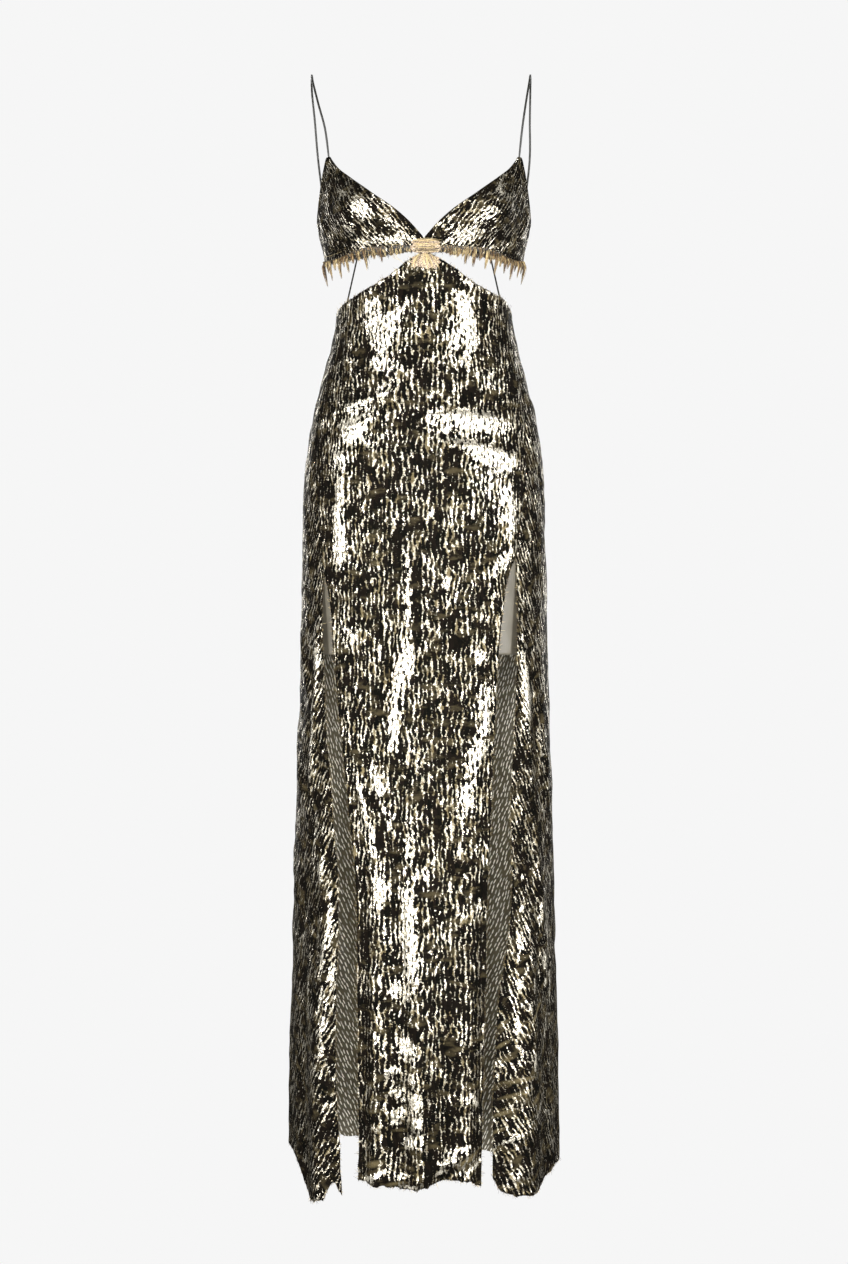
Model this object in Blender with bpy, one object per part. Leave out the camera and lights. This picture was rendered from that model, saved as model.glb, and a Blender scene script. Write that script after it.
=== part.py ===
"""Evening gown, filled out as worn, in metres with +Z up.

Two triangular cups on rouleau straps, a frayed under-bust edge, open sides and back laced by thin
cords, and a long skirt of three panels: a centre front that rises to a peak and hangs free between
two slits, and two side-back panels. The origin is where the wearer's shoulders hold the straps, the
front faces -Y, and heights in the tables are measured up from the level of the front hem.
"""

import math
import random
from collections import namedtuple

import bmesh
import bpy
from mathutils import Matrix, Vector

# ---------------------------------------------------------------- driving sizes
SHOULDER_HEIGHT = 1.5225        # undersides of the shoulder straps above the front hem
CLOTH = 0.0015                  # wall of the skirt panels
CUP_CLOTH = 0.0018              # wall of the cups, cloth turned in at its edges
LINING_CLOTH = 0.0010           # wall of the satin lining
SEAM_GAP = 0.0003               # clearance where two pieces are sewn together
SEAM_HALF_ANGLE = math.degrees(0.5 * SEAM_GAP / 0.12)   # half of it, as an angle on the figure
CORD_RADIUS = 0.0015            # rouleau straps
THIN_CORD_RADIUS = 0.0012       # cords across the back and down to the skirt

# The figure's girth as ovals, one row for each height. half_width is across (X), front and back
# are the depths from the side seam line to centre front and centre back.
Girth = namedtuple("Girth", "height half_width front back")

SKIRT_GIRTH = (
    Girth(-0.030, 0.1830, 0.1580, 0.1700),
    Girth(0.100, 0.1810, 0.1550, 0.1660),
    Girth(0.300, 0.1810, 0.1470, 0.1560),
    Girth(0.500, 0.1780, 0.1380, 0.1450),
    Girth(0.700, 0.1720, 0.1270, 0.1340),
    Girth(0.850, 0.1690, 0.1180, 0.1260),
    Girth(0.950, 0.1675, 0.1110, 0.1210),
    Girth(1.030, 0.1575, 0.1040, 0.1130),
    Girth(1.100, 0.1415, 0.0970, 0.0990),
    Girth(1.170, 0.1248, 0.0920, 0.0870),
    Girth(1.200, 0.1215, 0.0920, 0.0850),
    Girth(1.235, 0.1235, 0.0955, 0.0860),
    Girth(1.270, 0.1280, 0.1000, 0.0880),
)

BODICE_GIRTH = (
    Girth(1.200, 0.1300, 0.0930, 0.0880),
    Girth(1.265, 0.1376, 0.1000, 0.0910),
    Girth(1.300, 0.1455, 0.1000, 0.0930),
    Girth(1.330, 0.1490, 0.0990, 0.0940),
    Girth(1.360, 0.1490, 0.0960, 0.0930),
    Girth(1.410, 0.1485, 0.0920, 0.0900),
)

# The rounding that each cup's cut gives, as a soft dome on the figure.
CUP_DOME_ANGLE = 32.0           # degrees from centre front
CUP_DOME_SPREAD = 20.0          # degrees
CUP_DOME_HEIGHT = 1.325
CUP_DOME_REACH = 0.043          # up and down
CUP_DOME_DEPTH = 0.026          # how far it stands out

# Cup outlines: angle is measured from centre front, away from it on either side.
CupEdge = namedtuple("CupEdge", "angle bottom top")

CUP_EDGES = (
    CupEdge(0.1, 1.2650, 1.2825),
    CupEdge(8.0, 1.2645, 1.3050),
    CupEdge(15.0, 1.2640, 1.3215),
    CupEdge(23.0, 1.2635, 1.3370),
    CupEdge(31.0, 1.2630, 1.3525),
    CupEdge(41.0, 1.2615, 1.3690),
    CupEdge(51.0, 1.2600, 1.3835),
    CupEdge(57.5, 1.2595, 1.3960),
    CupEdge(60.5, 1.2595, 1.4020),
    CupEdge(63.5, 1.2595, 1.4020),
    CupEdge(68.0, 1.2600, 1.3850),
    CupEdge(75.0, 1.2615, 1.3500),
    CupEdge(82.0, 1.2630, 1.3240),
    CupEdge(90.0, 1.2650, 1.3160),
    CupEdge(100.0, 1.2700, 1.3200),
    CupEdge(112.0, 1.2780, 1.3260),
    CupEdge(126.0, 1.2880, 1.3240),
    CupEdge(142.0, 1.2980, 1.3200),
)
CUP_ROWS = 7
STRAP_SEAT_ANGLE = 112.0        # where a strap's back end is sewn to the wing
CUP_TIP_ANGLE = 62.0            # where its front end is sewn to the cup

# The skirt's top edge: a peak at centre front, curved down to the sides, up again to the corners
# where the cords pull, and low across the back.
TopEdge = namedtuple("TopEdge", "angle left right")

SKIRT_TOP = (
    TopEdge(0.0, 1.2645, 1.2645),
    TopEdge(6.0, 1.2575, 1.2590),
    TopEdge(13.0, 1.2480, 1.2510),
    TopEdge(21.0, 1.2350, 1.2415),
    TopEdge(30.0, 1.2255, 1.2290),
    TopEdge(40.0, 1.2170, 1.2205),
    TopEdge(52.0, 1.2085, 1.2125),
    TopEdge(65.0, 1.2020, 1.2070),
    TopEdge(76.0, 1.1950, 1.1980),
    TopEdge(90.0, 1.1910, 1.1920),
    TopEdge(103.0, 1.1980, 1.1980),
    TopEdge(115.0, 1.2080, 1.2080),
    TopEdge(123.0, 1.2020, 1.2020),
    TopEdge(137.0, 1.1760, 1.1760),
    TopEdge(157.0, 1.1440, 1.1440),
    TopEdge(180.0, 1.1300, 1.1300),
)
SKIRT_CORNER_ANGLE = 115.0

# The raw hems, in degrees from centre front, + towards +X.
Hem = namedtuple("Hem", "angle height")

FRONT_HEM = (
    Hem(-29.0, 0.021),
    Hem(-18.0, 0.017),
    Hem(-8.0, 0.012),
    Hem(2.0, 0.017),
    Hem(12.5, 0.026),
    Hem(19.0, 0.022),
    Hem(25.0, 0.014),
)
SIDE_BACK_HEM = (
    Hem(-180.0, 0.006),
    Hem(-145.0, 0.022),
    Hem(-118.0, 0.034),
    Hem(-90.0, 0.044),
    Hem(-78.0, 0.031),
    Hem(-72.0, 0.024),
    Hem(-67.5, -0.002),
    Hem(-58.0, -0.017),
    Hem(-47.0, -0.013),
    Hem(-42.5, 0.012),
    Hem(-38.0, -0.003),
    Hem(33.0, 0.020),
    Hem(37.0, 0.002),
    Hem(45.0, -0.007),
    Hem(54.0, -0.006),
    Hem(64.0, 0.002),
    Hem(78.0, 0.013),
    Hem(90.0, 0.020),
    Hem(112.0, 0.028),
    Hem(145.0, 0.000),
    Hem(180.0, 0.006),
)

# The two slits: how far from centre front, in degrees, each of their edges hangs.
SlitEdge = namedtuple("SlitEdge", "height left_front left_side right_front right_side")

SLIT_EDGES = (
    SlitEdge(-0.020, 29.3, 37.8, 25.6, 33.6),
    SlitEdge(0.090, 29.4, 41.2, 26.4, 33.0),
    SlitEdge(0.170, 29.6, 42.4, 27.0, 33.4),
    SlitEdge(0.260, 29.8, 41.4, 27.6, 34.8),
    SlitEdge(0.340, 29.8, 39.8, 27.8, 39.0),
    SlitEdge(0.415, 30.9, 39.6, 28.4, 41.2),
    SlitEdge(0.490, 34.0, 42.8, 30.4, 41.0),
    SlitEdge(0.575, 38.0, 46.2, 32.0, 42.6),
    SlitEdge(0.640, 41.2, 49.6, 33.6, 45.0),
    SlitEdge(0.711, 44.6, 52.0, 35.6, 46.8),
    SlitEdge(0.794, 48.2, 54.0, 40.0, 47.8),
    SlitEdge(0.825, 51.5, 54.4, 43.6, 47.8),
    SlitEdge(0.843, 54.2, 54.4, 47.6, 47.8),
)
# Above the slits the seams lean out to the sides.
SLIT_TOP = 0.843
SLIT_TILT = 0.012               # the right slit starts this much higher than the middle
SEAM_TOP_LEFT = 78.0
SEAM_TOP_RIGHT = 76.0
SEAM_TOP_HEIGHT = 1.195

# Soft vertical folds. across is the place on the panel, 0 at its first edge and 1 at its last,
# spread is in the same measure, depth is at the hem (+ out, - in), and start is where it begins.
Fold = namedtuple("Fold", "across spread depth drift start")

FRONT_FOLDS = (
    Fold(0.04, 0.07, -0.006, 0.00, 0.70),
    Fold(0.17, 0.08, 0.009, -0.02, 0.74),
    Fold(0.34, 0.08, -0.010, -0.02, 0.70),
    Fold(0.50, 0.08, 0.010, -0.06, 0.80),
    Fold(0.66, 0.08, -0.010, 0.04, 0.60),
    Fold(0.83, 0.09, 0.010, 0.05, 0.76),
    Fold(1.00, 0.06, -0.008, 0.00, 0.66),
)
# Side-back folds run from the slit (0) to centre back (1).
LEFT_FOLDS = (
    Fold(0.00, 0.03, -0.008, 0.00, 0.50),
    Fold(0.08, 0.04, 0.007, 0.00, 0.62),
    Fold(0.19, 0.05, -0.007, 0.00, 0.56),
    Fold(0.37, 0.05, 0.008, 0.02, 0.50),
    Fold(0.50, 0.05, -0.010, 0.00, 0.72),
    Fold(0.62, 0.05, 0.009, 0.02, 0.66),
    Fold(0.75, 0.05, -0.010, 0.00, 0.78),
    Fold(0.87, 0.05, 0.009, -0.02, 0.70),
)
RIGHT_FOLDS = (
    Fold(0.00, 0.05, -0.018, 0.00, 0.42),
    Fold(0.12, 0.05, 0.007, 0.02, 0.64),
    Fold(0.24, 0.05, -0.006, 0.00, 0.52),
    Fold(0.40, 0.05, 0.007, 0.00, 0.56),
    Fold(0.53, 0.05, -0.009, 0.02, 0.70),
    Fold(0.66, 0.05, 0.009, 0.00, 0.68),
    Fold(0.79, 0.05, -0.010, -0.02, 0.76),
    Fold(0.90, 0.05, 0.008, 0.00, 0.66),
)

SKIRT_ROWS_BELOW_SLIT = 14
SKIRT_ROWS_ABOVE_SLIT = 9
FRONT_COLUMNS = 24
SIDE_BACK_COLUMNS = 26
SIDE_BACK_CROWDING = 1.25       # columns lie closer together towards the slit

LINING_HEM = 0.720
LINING_INSET = 0.0020           # from the skirt's outer face to the lining's
LINING_EASE = 0.0060            # how much further in the lining hangs at its hem
LINING_OVER_ZIP = 0.0012        # how much further in it lies over the zip's tapes
LINING_BELOW_EDGE = 0.015       # lining's top edge below the skirt's, as a share of the upper skirt
LINING_COLUMNS = 18

# Loose threads under the cups: length of the threads at each angle from centre front.
Thread = namedtuple("Thread", "angle length")

THREADS = (
    Thread(13.0, 0.007),
    Thread(22.0, 0.013),
    Thread(34.0, 0.021),
    Thread(50.0, 0.022),
    Thread(68.0, 0.028),
    Thread(82.0, 0.035),
    Thread(92.0, 0.024),
)
THREAD_LOCKS = 42               # on each side
FRINGE_STRIP = 0.0045           # height of the strip that the threads hang from
FRINGE_CLOTH = 0.0012
FRINGE_GAP = 0.0004             # under the cup's edge
THREAD_SEED = 7

# Straps and cords, as places (x, y, height) for the right side; left mirrors x and adds a shift.
Waypoint = namedtuple("Waypoint", "x y height")

STRAP_ROUTE = (
    Waypoint(0.1345, -0.0460, 1.440),
    Waypoint(0.1395, -0.0410, 1.475),
    Waypoint(0.1450, -0.0260, 1.508),
    Waypoint(0.1480, 0.0000, SHOULDER_HEIGHT + CORD_RADIUS),
    Waypoint(0.1490, 0.0270, 1.507),
    Waypoint(0.1490, 0.0420, 1.470),
    Waypoint(0.1485, 0.0455, 1.410),
)
LEFT_STRAP_SHIFT = 0.0080       # the left strap sits this much further out on the shoulder
STRAP_POINTS = 20
BACK_CORD_POINTS = 14
WAIST_CORD_POINTS = 5
CORD_SAG = 0.004
WING_RADIUS = 0.095             # of the figure where the wings end
CORD_SEAT = 0.0004              # from a cord's end to the edge that it is sewn to
WAIST_CORD_DROP = 0.0016        # clears the slope of the wing's lower edge

# Centre-front join: a short bound tab over the cups' meeting edges and the skirt's peak.
JOIN_LEFT = -6.0
JOIN_RIGHT = 8.0
JOIN_LOW = 1.2500
JOIN_HIGH = 1.2790
JOIN_CLOTH = 0.0016
JOIN_LIFT = 0.0006

# Concealed zip at centre back, in metres from the crossbar that the pull tab turns on.
ZIP_LOW = 0.900
TAPE_HALF_WIDTH = 0.012
TAPE_CLOTH = 0.0008
TAPE_INSET = 0.0019
SLIDER_HEIGHT = 1.1205          # where the crossbar sits, above the hem
SLIDER_HALF_WIDTH = 0.0022
SLIDER_UP = 0.0040
SLIDER_DOWN = 0.0030
SLIDER_LIFT = 0.0004            # off the cloth
SLIDER_PLATE = 0.0010
CROSSBAR_OUT = 0.0024           # crossbar's centre off the cloth
ARCH_INNER = 0.0011
ARCH_OUTER = 0.0019
ARCH_HALF_WIDTH = 0.0006
PULL_CLOTH_TILT = 5.0           # degrees that the hanging tab leans in to the cloth
PULL_THICKNESS = 0.0008
PULL_EYE = (0.0009, 0.0004, 0.0025)     # half width, start and end of the tab's eye
PULL_OUTLINE = (
    (0.0024, -0.0004),
    (0.0024, 0.0034),
    (0.0015, 0.0056),
    (0.0025, 0.0118),
    (0.0017, 0.0144),
    (0.0000, 0.0152),
)


# ---------------------------------------------------------------- tables to smooth curves
def eased(rows, column, at):
    """Value of a table's column at a place, on a smooth curve through its rows that never overshoots."""
    keys = [row[0] for row in rows]
    values = [getattr(row, column) for row in rows]
    if at <= keys[0]:
        return values[0]
    if at >= keys[-1]:
        return values[-1]
    last = len(rows) - 1
    i = max(k for k in range(last) if keys[k] <= at)
    steps = [(values[k + 1] - values[k]) / (keys[k + 1] - keys[k]) for k in range(last)]

    def slope(k):
        if k == 0 or k == last:
            return steps[min(k, last - 1)]
        before, after = steps[k - 1], steps[k]
        if before * after <= 0.0:
            return 0.0
        return 2.0 * before * after / (before + after)

    width = keys[i + 1] - keys[i]
    t = (at - keys[i]) / width
    rise = t * t * (3.0 - 2.0 * t)
    start_pull = t * (1.0 - t) ** 2 * width * slope(i)
    end_pull = t * t * (t - 1.0) * width * slope(i + 1)
    return values[i] + (values[i + 1] - values[i]) * rise + start_pull + end_pull


def blend(low, high, share):
    """Value a share of the way from low to high."""
    return low + (high - low) * share


def smooth_step(share):
    """0 to 1 with a soft start and end."""
    share = min(max(share, 0.0), 1.0)
    return share * share * (3.0 - 2.0 * share)


def bell(distance, spread):
    """1 at no distance, fading to 0 a few spreads away."""
    return math.exp(-(distance / spread) ** 2)


# ---------------------------------------------------------------- the figure's surface
def oval_point(girth, angle, height, out=0.0):
    """Point on the figure's oval at an angle from centre front, moved out by a distance."""
    turn = math.radians(angle)
    side, ahead = math.sin(turn), math.cos(turn)
    width = eased(girth, "half_width", height)
    depth = eased(girth, "front" if ahead > 0.0 else "back", height)
    lean = Vector((side / width, -ahead / depth, 0.0)).normalized()
    return Vector((width * side, -depth * ahead, height - SHOULDER_HEIGHT)) + lean * out


def bodice_point(angle, height, out=0.0):
    """Point on the bodice: the figure's oval with a cup's dome on each side."""
    dome = bell(abs(angle) - CUP_DOME_ANGLE, CUP_DOME_SPREAD) * bell(height - CUP_DOME_HEIGHT, CUP_DOME_REACH)
    return oval_point(BODICE_GIRTH, angle, height, out + CUP_DOME_DEPTH * dome)


# ---------------------------------------------------------------- the skirt's surface
def slit_level(angle):
    """Height of the row of points that passes through both slit tops."""
    return SLIT_TOP + SLIT_TILT * math.sin(math.radians(angle))


def skirt_top(angle):
    """Height of the skirt's top edge."""
    turned = (angle + 180.0) % 360.0 - 180.0
    return eased(SKIRT_TOP, "left" if turned < 0.0 else "right", abs(turned))


def skirt_height(angle, level, hem):
    """Height of a point on the skirt: level runs from 0 at the hem, past 1 at the slit tops, to 2."""
    if level <= 1.0:
        return blend(hem, slit_level(angle), level)
    return blend(slit_level(angle), skirt_top(angle), level - 1.0)


def edge_angle(column, level):
    """Angle of a panel's edge at a level: the slit's own edge below, the seam above."""
    if level <= 1.0:
        return eased(SLIT_EDGES, column, SLIT_TOP * level)
    seam_top = SEAM_TOP_LEFT if column.startswith("left") else SEAM_TOP_RIGHT
    return blend(getattr(SLIT_EDGES[-1], column), seam_top, level - 1.0)


def fold_depth(folds, across, height):
    """How far the panel's folds move its wall out at a place."""
    depth = 0.0
    for fold in folds:
        fall = smooth_step((fold.start - height) / fold.start)
        place = fold.across + fold.drift * (1.0 - fall)
        depth += fold.depth * fall * bell(across - place, fold.spread)
    return depth


def skirt_front_point(across, level):
    """Outer face of the centre front panel: across runs from its left edge to its right."""
    left = -edge_angle("left_front", level) + SEAM_HALF_ANGLE
    right = edge_angle("right_front", level) - SEAM_HALF_ANGLE
    angle = blend(left, right, across)
    height = skirt_height(angle, level, eased(FRONT_HEM, "height", angle))
    return oval_point(SKIRT_GIRTH, angle, height, fold_depth(FRONT_FOLDS, across, height))


def skirt_side_back_point(side, across, level):
    """Outer face of a side-back panel: across runs from the slit to centre back; side is -1 or 1."""
    column = "left_side" if side < 0 else "right_side"
    front = edge_angle(column, level) + SEAM_HALF_ANGLE
    angle = side * blend(front, 180.0 - SEAM_HALF_ANGLE, across)
    height = skirt_height(angle, level, eased(SIDE_BACK_HEM, "height", angle))
    folds = LEFT_FOLDS if side < 0 else RIGHT_FOLDS
    return oval_point(SKIRT_GIRTH, angle, height, fold_depth(folds, across, height))


# ---------------------------------------------------------------- mesh building
def steps(start, end, count):
    """Evenly spaced values from start to end, count spaces apart."""
    return [blend(start, end, i / count) for i in range(count + 1)]


def facing(point, u, v):
    """Outward direction of a surface, from points close by on it."""
    small = 0.002
    along = point(u + small, v) - point(u - small, v)
    upward = point(u, v + small) - point(u, v - small)
    return along.cross(upward).normalized()


def make_material(name, colour, roughness, metallic):
    """Plain Principled material for the solid."""
    material = bpy.data.materials.new(name)
    material.use_nodes = True
    shader = material.node_tree.nodes["Principled BSDF"]
    shader.inputs["Base Color"].default_value = (*colour, 1.0)
    shader.inputs["Roughness"].default_value = roughness
    shader.inputs["Metallic"].default_value = metallic
    material.diffuse_color = (*colour, 1.0)
    return material


def add_object(name, mesh, material):
    """Link a bmesh into the scene as a named object."""
    data = bpy.data.meshes.new(name)
    mesh.to_mesh(data)
    mesh.free()
    data.materials.append(material)
    made = bpy.data.objects.new(name, data)
    bpy.context.collection.objects.link(made)
    made.parent = GOWN
    return made


def add_wall(name, point, across, upward, thickness, material):
    """Cloth wall: outer face through point(u, v), inner face one thickness inside, closed at its rim.

    The first value runs along the cloth and the second up it, so that their cross points outwards.
    """
    mesh = bmesh.new()
    outer = [[mesh.verts.new(point(u, v)) for u in across] for v in upward]
    inner = [[mesh.verts.new(point(u, v) - facing(point, u, v) * thickness) for u in across] for v in upward]
    last_row, last_column = len(upward) - 1, len(across) - 1
    for j in range(last_row):
        for i in range(last_column):
            for layer, turned in ((outer, False), (inner, True)):
                a, b = layer[j][i], layer[j][i + 1]
                c, d = layer[j + 1][i + 1], layer[j + 1][i]
                for corners in ((a, b, c), (a, c, d)):
                    mesh.faces.new(corners[::-1] if turned else corners)
    rim = [(0, i) for i in range(last_column)]
    rim += [(j, last_column) for j in range(last_row)]
    rim += [(last_row, i) for i in range(last_column, 0, -1)]
    rim += [(j, 0) for j in range(last_row, 0, -1)]
    for here, there in zip(rim, rim[1:] + rim[:1]):
        (row, column), (next_row, next_column) = here, there
        near_edge = (outer[row][column], inner[row][column])
        far_edge = (inner[next_row][next_column], outer[next_row][next_column])
        mesh.faces.new(near_edge + far_edge)
    return add_object(name, mesh, material)


def add_cord(name, places, radius, material):
    """Round cord of six sides through the places, closed at both ends."""
    curve = bpy.data.curves.new(name, "CURVE")
    curve.dimensions = "3D"
    curve.bevel_depth = radius
    curve.bevel_resolution = 1
    curve.resolution_u = 1
    curve.render_resolution_u = 0
    curve.use_fill_caps = True
    spline = curve.splines.new("POLY")
    spline.points.add(len(places) - 1)
    for knot, place in zip(spline.points, places):
        knot.co = (*place, 1.0)
    curve.materials.append(material)
    made = bpy.data.objects.new(name, curve)
    bpy.context.collection.objects.link(made)
    made.parent = GOWN
    return made


def smooth_route(places, count):
    """Evenly stepped points on a Catmull-Rom curve through the places."""
    ends = [2 * places[0] - places[1]] + places + [2 * places[-1] - places[-2]]
    spans = len(places) - 1
    route = []
    for step in range(count + 1):
        along = spans * step / count
        i = min(int(along), spans - 1)
        t = along - i
        p0, p1, p2, p3 = ends[i:i + 4]
        route.append(0.5 * (2 * p1 + (p2 - p0) * t + (2 * p0 - 5 * p1 + 4 * p2 - p3) * t * t
                            + (3 * p1 - p0 - 3 * p2 + p3) * t ** 3))
    return route


# ---------------------------------------------------------------- bodice
def build_cup(name, side, material):
    """One cup with its wing, from centre front round to the wing's end."""
    angles = [side * row.angle for row in CUP_EDGES][::side]

    def point(place, level):
        low = min(max(int(place), 0), len(angles) - 2)
        angle = blend(angles[low], angles[low + 1], place - low)
        bottom = eased(CUP_EDGES, "bottom", abs(angle))
        top = eased(CUP_EDGES, "top", abs(angle))
        return bodice_point(angle, blend(bottom, top, level))

    places = steps(0.0, len(angles) - 1.0, len(angles) - 1)
    return add_wall(name, point, places, steps(0.0, 1.0, CUP_ROWS), CUP_CLOTH, material)


def build_join(material):
    """Bound tab at centre front, on the cups' lower corners and the skirt's peak, moved out."""
    def point(angle, height):
        on_skirt = oval_point(SKIRT_GIRTH, angle, height, JOIN_LIFT + JOIN_CLOTH)
        on_cups = bodice_point(angle, height, JOIN_LIFT + JOIN_CLOTH)
        return on_skirt.lerp(on_cups, smooth_step((height - 1.255) / 0.015))

    angles = steps(JOIN_LEFT, JOIN_RIGHT, 6)
    return add_wall("front_join", point, angles, steps(JOIN_LOW, JOIN_HIGH, 4), JOIN_CLOTH, material)


def build_fringe(name, side, material, dice):
    """Frayed strip under a cup's edge, every other span of it drawn down into a loose lock."""
    mesh = bmesh.new()
    spans = 2 * THREAD_LOCKS - 1
    angles = steps(THREADS[0].angle, THREADS[-1].angle, spans)
    if side < 0:
        angles = [-angle for angle in reversed(angles)]
    rings = []
    for angle in angles:
        top = eased(CUP_EDGES, "bottom", abs(angle)) - FRINGE_GAP
        outer_top, inner_top = bodice_point(angle, top), bodice_point(angle, top, -FRINGE_CLOTH)
        drop = Vector((0.0, 0.0, FRINGE_STRIP))
        rings.append([mesh.verts.new(place) for place in (outer_top, inner_top, inner_top - drop, outer_top - drop)])
    mesh.faces.new(rings[0])
    mesh.faces.new(rings[-1][::-1])
    for k in range(spans):
        here, there = rings[k], rings[k + 1]
        for i in range(4):
            j = (i + 1) % 4
            root = (here[i], there[i], there[j], here[j])
            if i != 2 or k % 2:
                mesh.faces.new(root[::-1])
                continue
            angle = 0.5 * (angles[k] + angles[k + 1])
            length = eased(THREADS, "length", abs(angle)) * dice.uniform(0.62, 1.0)
            sway = Vector((dice.uniform(-0.05, 0.05), dice.uniform(-0.04, 0.02), -1.0)) * length
            middle = sum((vert.co for vert in root), Vector()) / 4.0
            tip = [mesh.verts.new(middle + sway + (vert.co - middle) * 0.35) for vert in root]
            for m in range(4):
                n = (m + 1) % 4
                mesh.faces.new((root[m], tip[m], tip[n], root[n]))
            mesh.faces.new(tip[::-1])
    bmesh.ops.recalc_face_normals(mesh, faces=mesh.faces)
    return add_object(name, mesh, material)


def build_straps(material):
    """Shoulder straps from each cup's tip, over the shoulder and down to the wing."""
    tip_height = eased(CUP_EDGES, "top", CUP_TIP_ANGLE) + CORD_SEAT
    seat_height = eased(CUP_EDGES, "top", STRAP_SEAT_ANGLE) + CORD_SEAT
    for name, side, shift in (("strap_left", -1, LEFT_STRAP_SHIFT), ("strap_right", 1, 0.0)):
        front = bodice_point(side * CUP_TIP_ANGLE, tip_height, -0.5 * CUP_CLOTH)
        back = bodice_point(side * STRAP_SEAT_ANGLE, seat_height, -0.5 * CUP_CLOTH)
        middle = []
        for stop in STRAP_ROUTE:
            share = smooth_step((stop.height - 1.42) / 0.09)
            middle.append(Vector((side * (stop.x + shift * share), stop.y, stop.height - SHOULDER_HEIGHT)))
        add_cord(name, smooth_route([front] + middle + [back], STRAP_POINTS), CORD_RADIUS, material)


def build_back_cords(material):
    """Cord across the back between the wing ends, and one down to each back corner of the skirt."""
    wing = CUP_EDGES[-1]
    wing_middle = 0.5 * (wing.bottom + wing.top)
    reach = math.degrees(CORD_SEAT / WING_RADIUS)
    places = []
    for share in steps(0.0, 1.0, BACK_CORD_POINTS):
        angle = blend(wing.angle + reach, 360.0 - wing.angle - reach, share)
        height = wing_middle - CORD_SAG * math.sin(math.pi * share)
        places.append(oval_point(BODICE_GIRTH, angle, height, -0.5 * CUP_CLOTH))
    add_cord("back_cord", places, THIN_CORD_RADIUS, material)

    corner_height = skirt_top(SKIRT_CORNER_ANGLE) + CORD_SEAT
    for name, side in (("waist_cord_left", -1), ("waist_cord_right", 1)):
        start = bodice_point(side * (wing.angle - 1.0), wing.bottom - CORD_SEAT - WAIST_CORD_DROP, -0.5 * CUP_CLOTH)
        end = oval_point(SKIRT_GIRTH, side * SKIRT_CORNER_ANGLE, corner_height, -0.5 * CLOTH)
        places = [start.lerp(end, share) for share in steps(0.0, 1.0, WAIST_CORD_POINTS)]
        add_cord(name, places, THIN_CORD_RADIUS, material)


# ---------------------------------------------------------------- skirt
def skirt_levels():
    """Rows of points up the skirt, with one through the slit tops."""
    return steps(0.0, 1.0, SKIRT_ROWS_BELOW_SLIT) + steps(1.0, 2.0, SKIRT_ROWS_ABOVE_SLIT)[1:]


def build_skirt(material):
    """Centre front panel and the two side-back panels."""
    levels = skirt_levels()
    add_wall("skirt_front", skirt_front_point, steps(0.0, 1.0, FRONT_COLUMNS), levels, CLOTH, material)
    crowded = [share ** SIDE_BACK_CROWDING for share in steps(0.0, 1.0, SIDE_BACK_COLUMNS)]
    mirrored = [1.0 - share for share in reversed(crowded)]

    def right(across, level):
        return skirt_side_back_point(1, across, level)

    def left(across, level):
        return skirt_side_back_point(-1, 1.0 - across, level)

    add_wall("skirt_side_back_right", right, crowded, levels, CLOTH, material)
    add_wall("skirt_side_back_left", left, mirrored, levels, CLOTH, material)


def lining_point(angle, level):
    """Outer face of the lining: level runs from 0 at its hem, past 1 at the slit tops, to 2."""
    height = skirt_height(angle, level, LINING_HEM)
    hang = smooth_step((SLIT_TOP - height) / (SLIT_TOP - LINING_HEM))
    from_back = abs(angle - 180.0)
    over_zip = LINING_OVER_ZIP * bell(from_back, 16.0)
    return oval_point(SKIRT_GIRTH, angle, height, -(LINING_INSET + LINING_EASE * hang + over_zip))


def build_lining(material):
    """Short lining in two pieces, joined at the sides."""
    levels = [0.0, 0.5] + steps(1.0, 2.0, SKIRT_ROWS_ABOVE_SLIT)[:-1] + [2.0 - LINING_BELOW_EDGE]
    front = steps(-90.0 + SEAM_HALF_ANGLE, 90.0 - SEAM_HALF_ANGLE, LINING_COLUMNS)
    back = steps(90.0 + SEAM_HALF_ANGLE, 270.0 - SEAM_HALF_ANGLE, LINING_COLUMNS)
    add_wall("lining_front", lining_point, front, levels, LINING_CLOTH, material)
    add_wall("lining_back", lining_point, back, levels, LINING_CLOTH, material)


# ---------------------------------------------------------------- zip
ACROSS = Vector((1.0, 0.0, 0.0))


def build_zip_tape(material):
    """The zip's two tapes as one strip, inside the centre-back seam."""
    low_level = 1.0 + (ZIP_LOW - SLIT_TOP) / (skirt_top(180.0) - SLIT_TOP)
    levels = [low_level] + [level for level in steps(1.0, 2.0, SKIRT_ROWS_ABOVE_SLIT)[:-1] if level > low_level]
    levels.append(2.0 - 0.5 * LINING_BELOW_EDGE)

    def point(angle, level):
        return oval_point(SKIRT_GIRTH, angle, skirt_height(angle, level, 0.0), -TAPE_INSET)

    half = math.degrees(TAPE_HALF_WIDTH / 0.13)
    return add_wall("zip_tape", point, steps(180.0 - half, 180.0 + half, 4), levels, TAPE_CLOTH, material)


def zip_axes():
    """Crossbar's place, with the cloth's outward and upward directions there."""
    place = oval_point(SKIRT_GIRTH, 180.0, SLIDER_HEIGHT)
    above = oval_point(SKIRT_GIRTH, 180.0, SLIDER_HEIGHT + 0.006)
    below = oval_point(SKIRT_GIRTH, 180.0, SLIDER_HEIGHT - 0.012)
    upward = (above - below).normalized()
    outward = upward.cross(ACROSS)
    return place + outward * CROSSBAR_OUT, outward, upward


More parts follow.
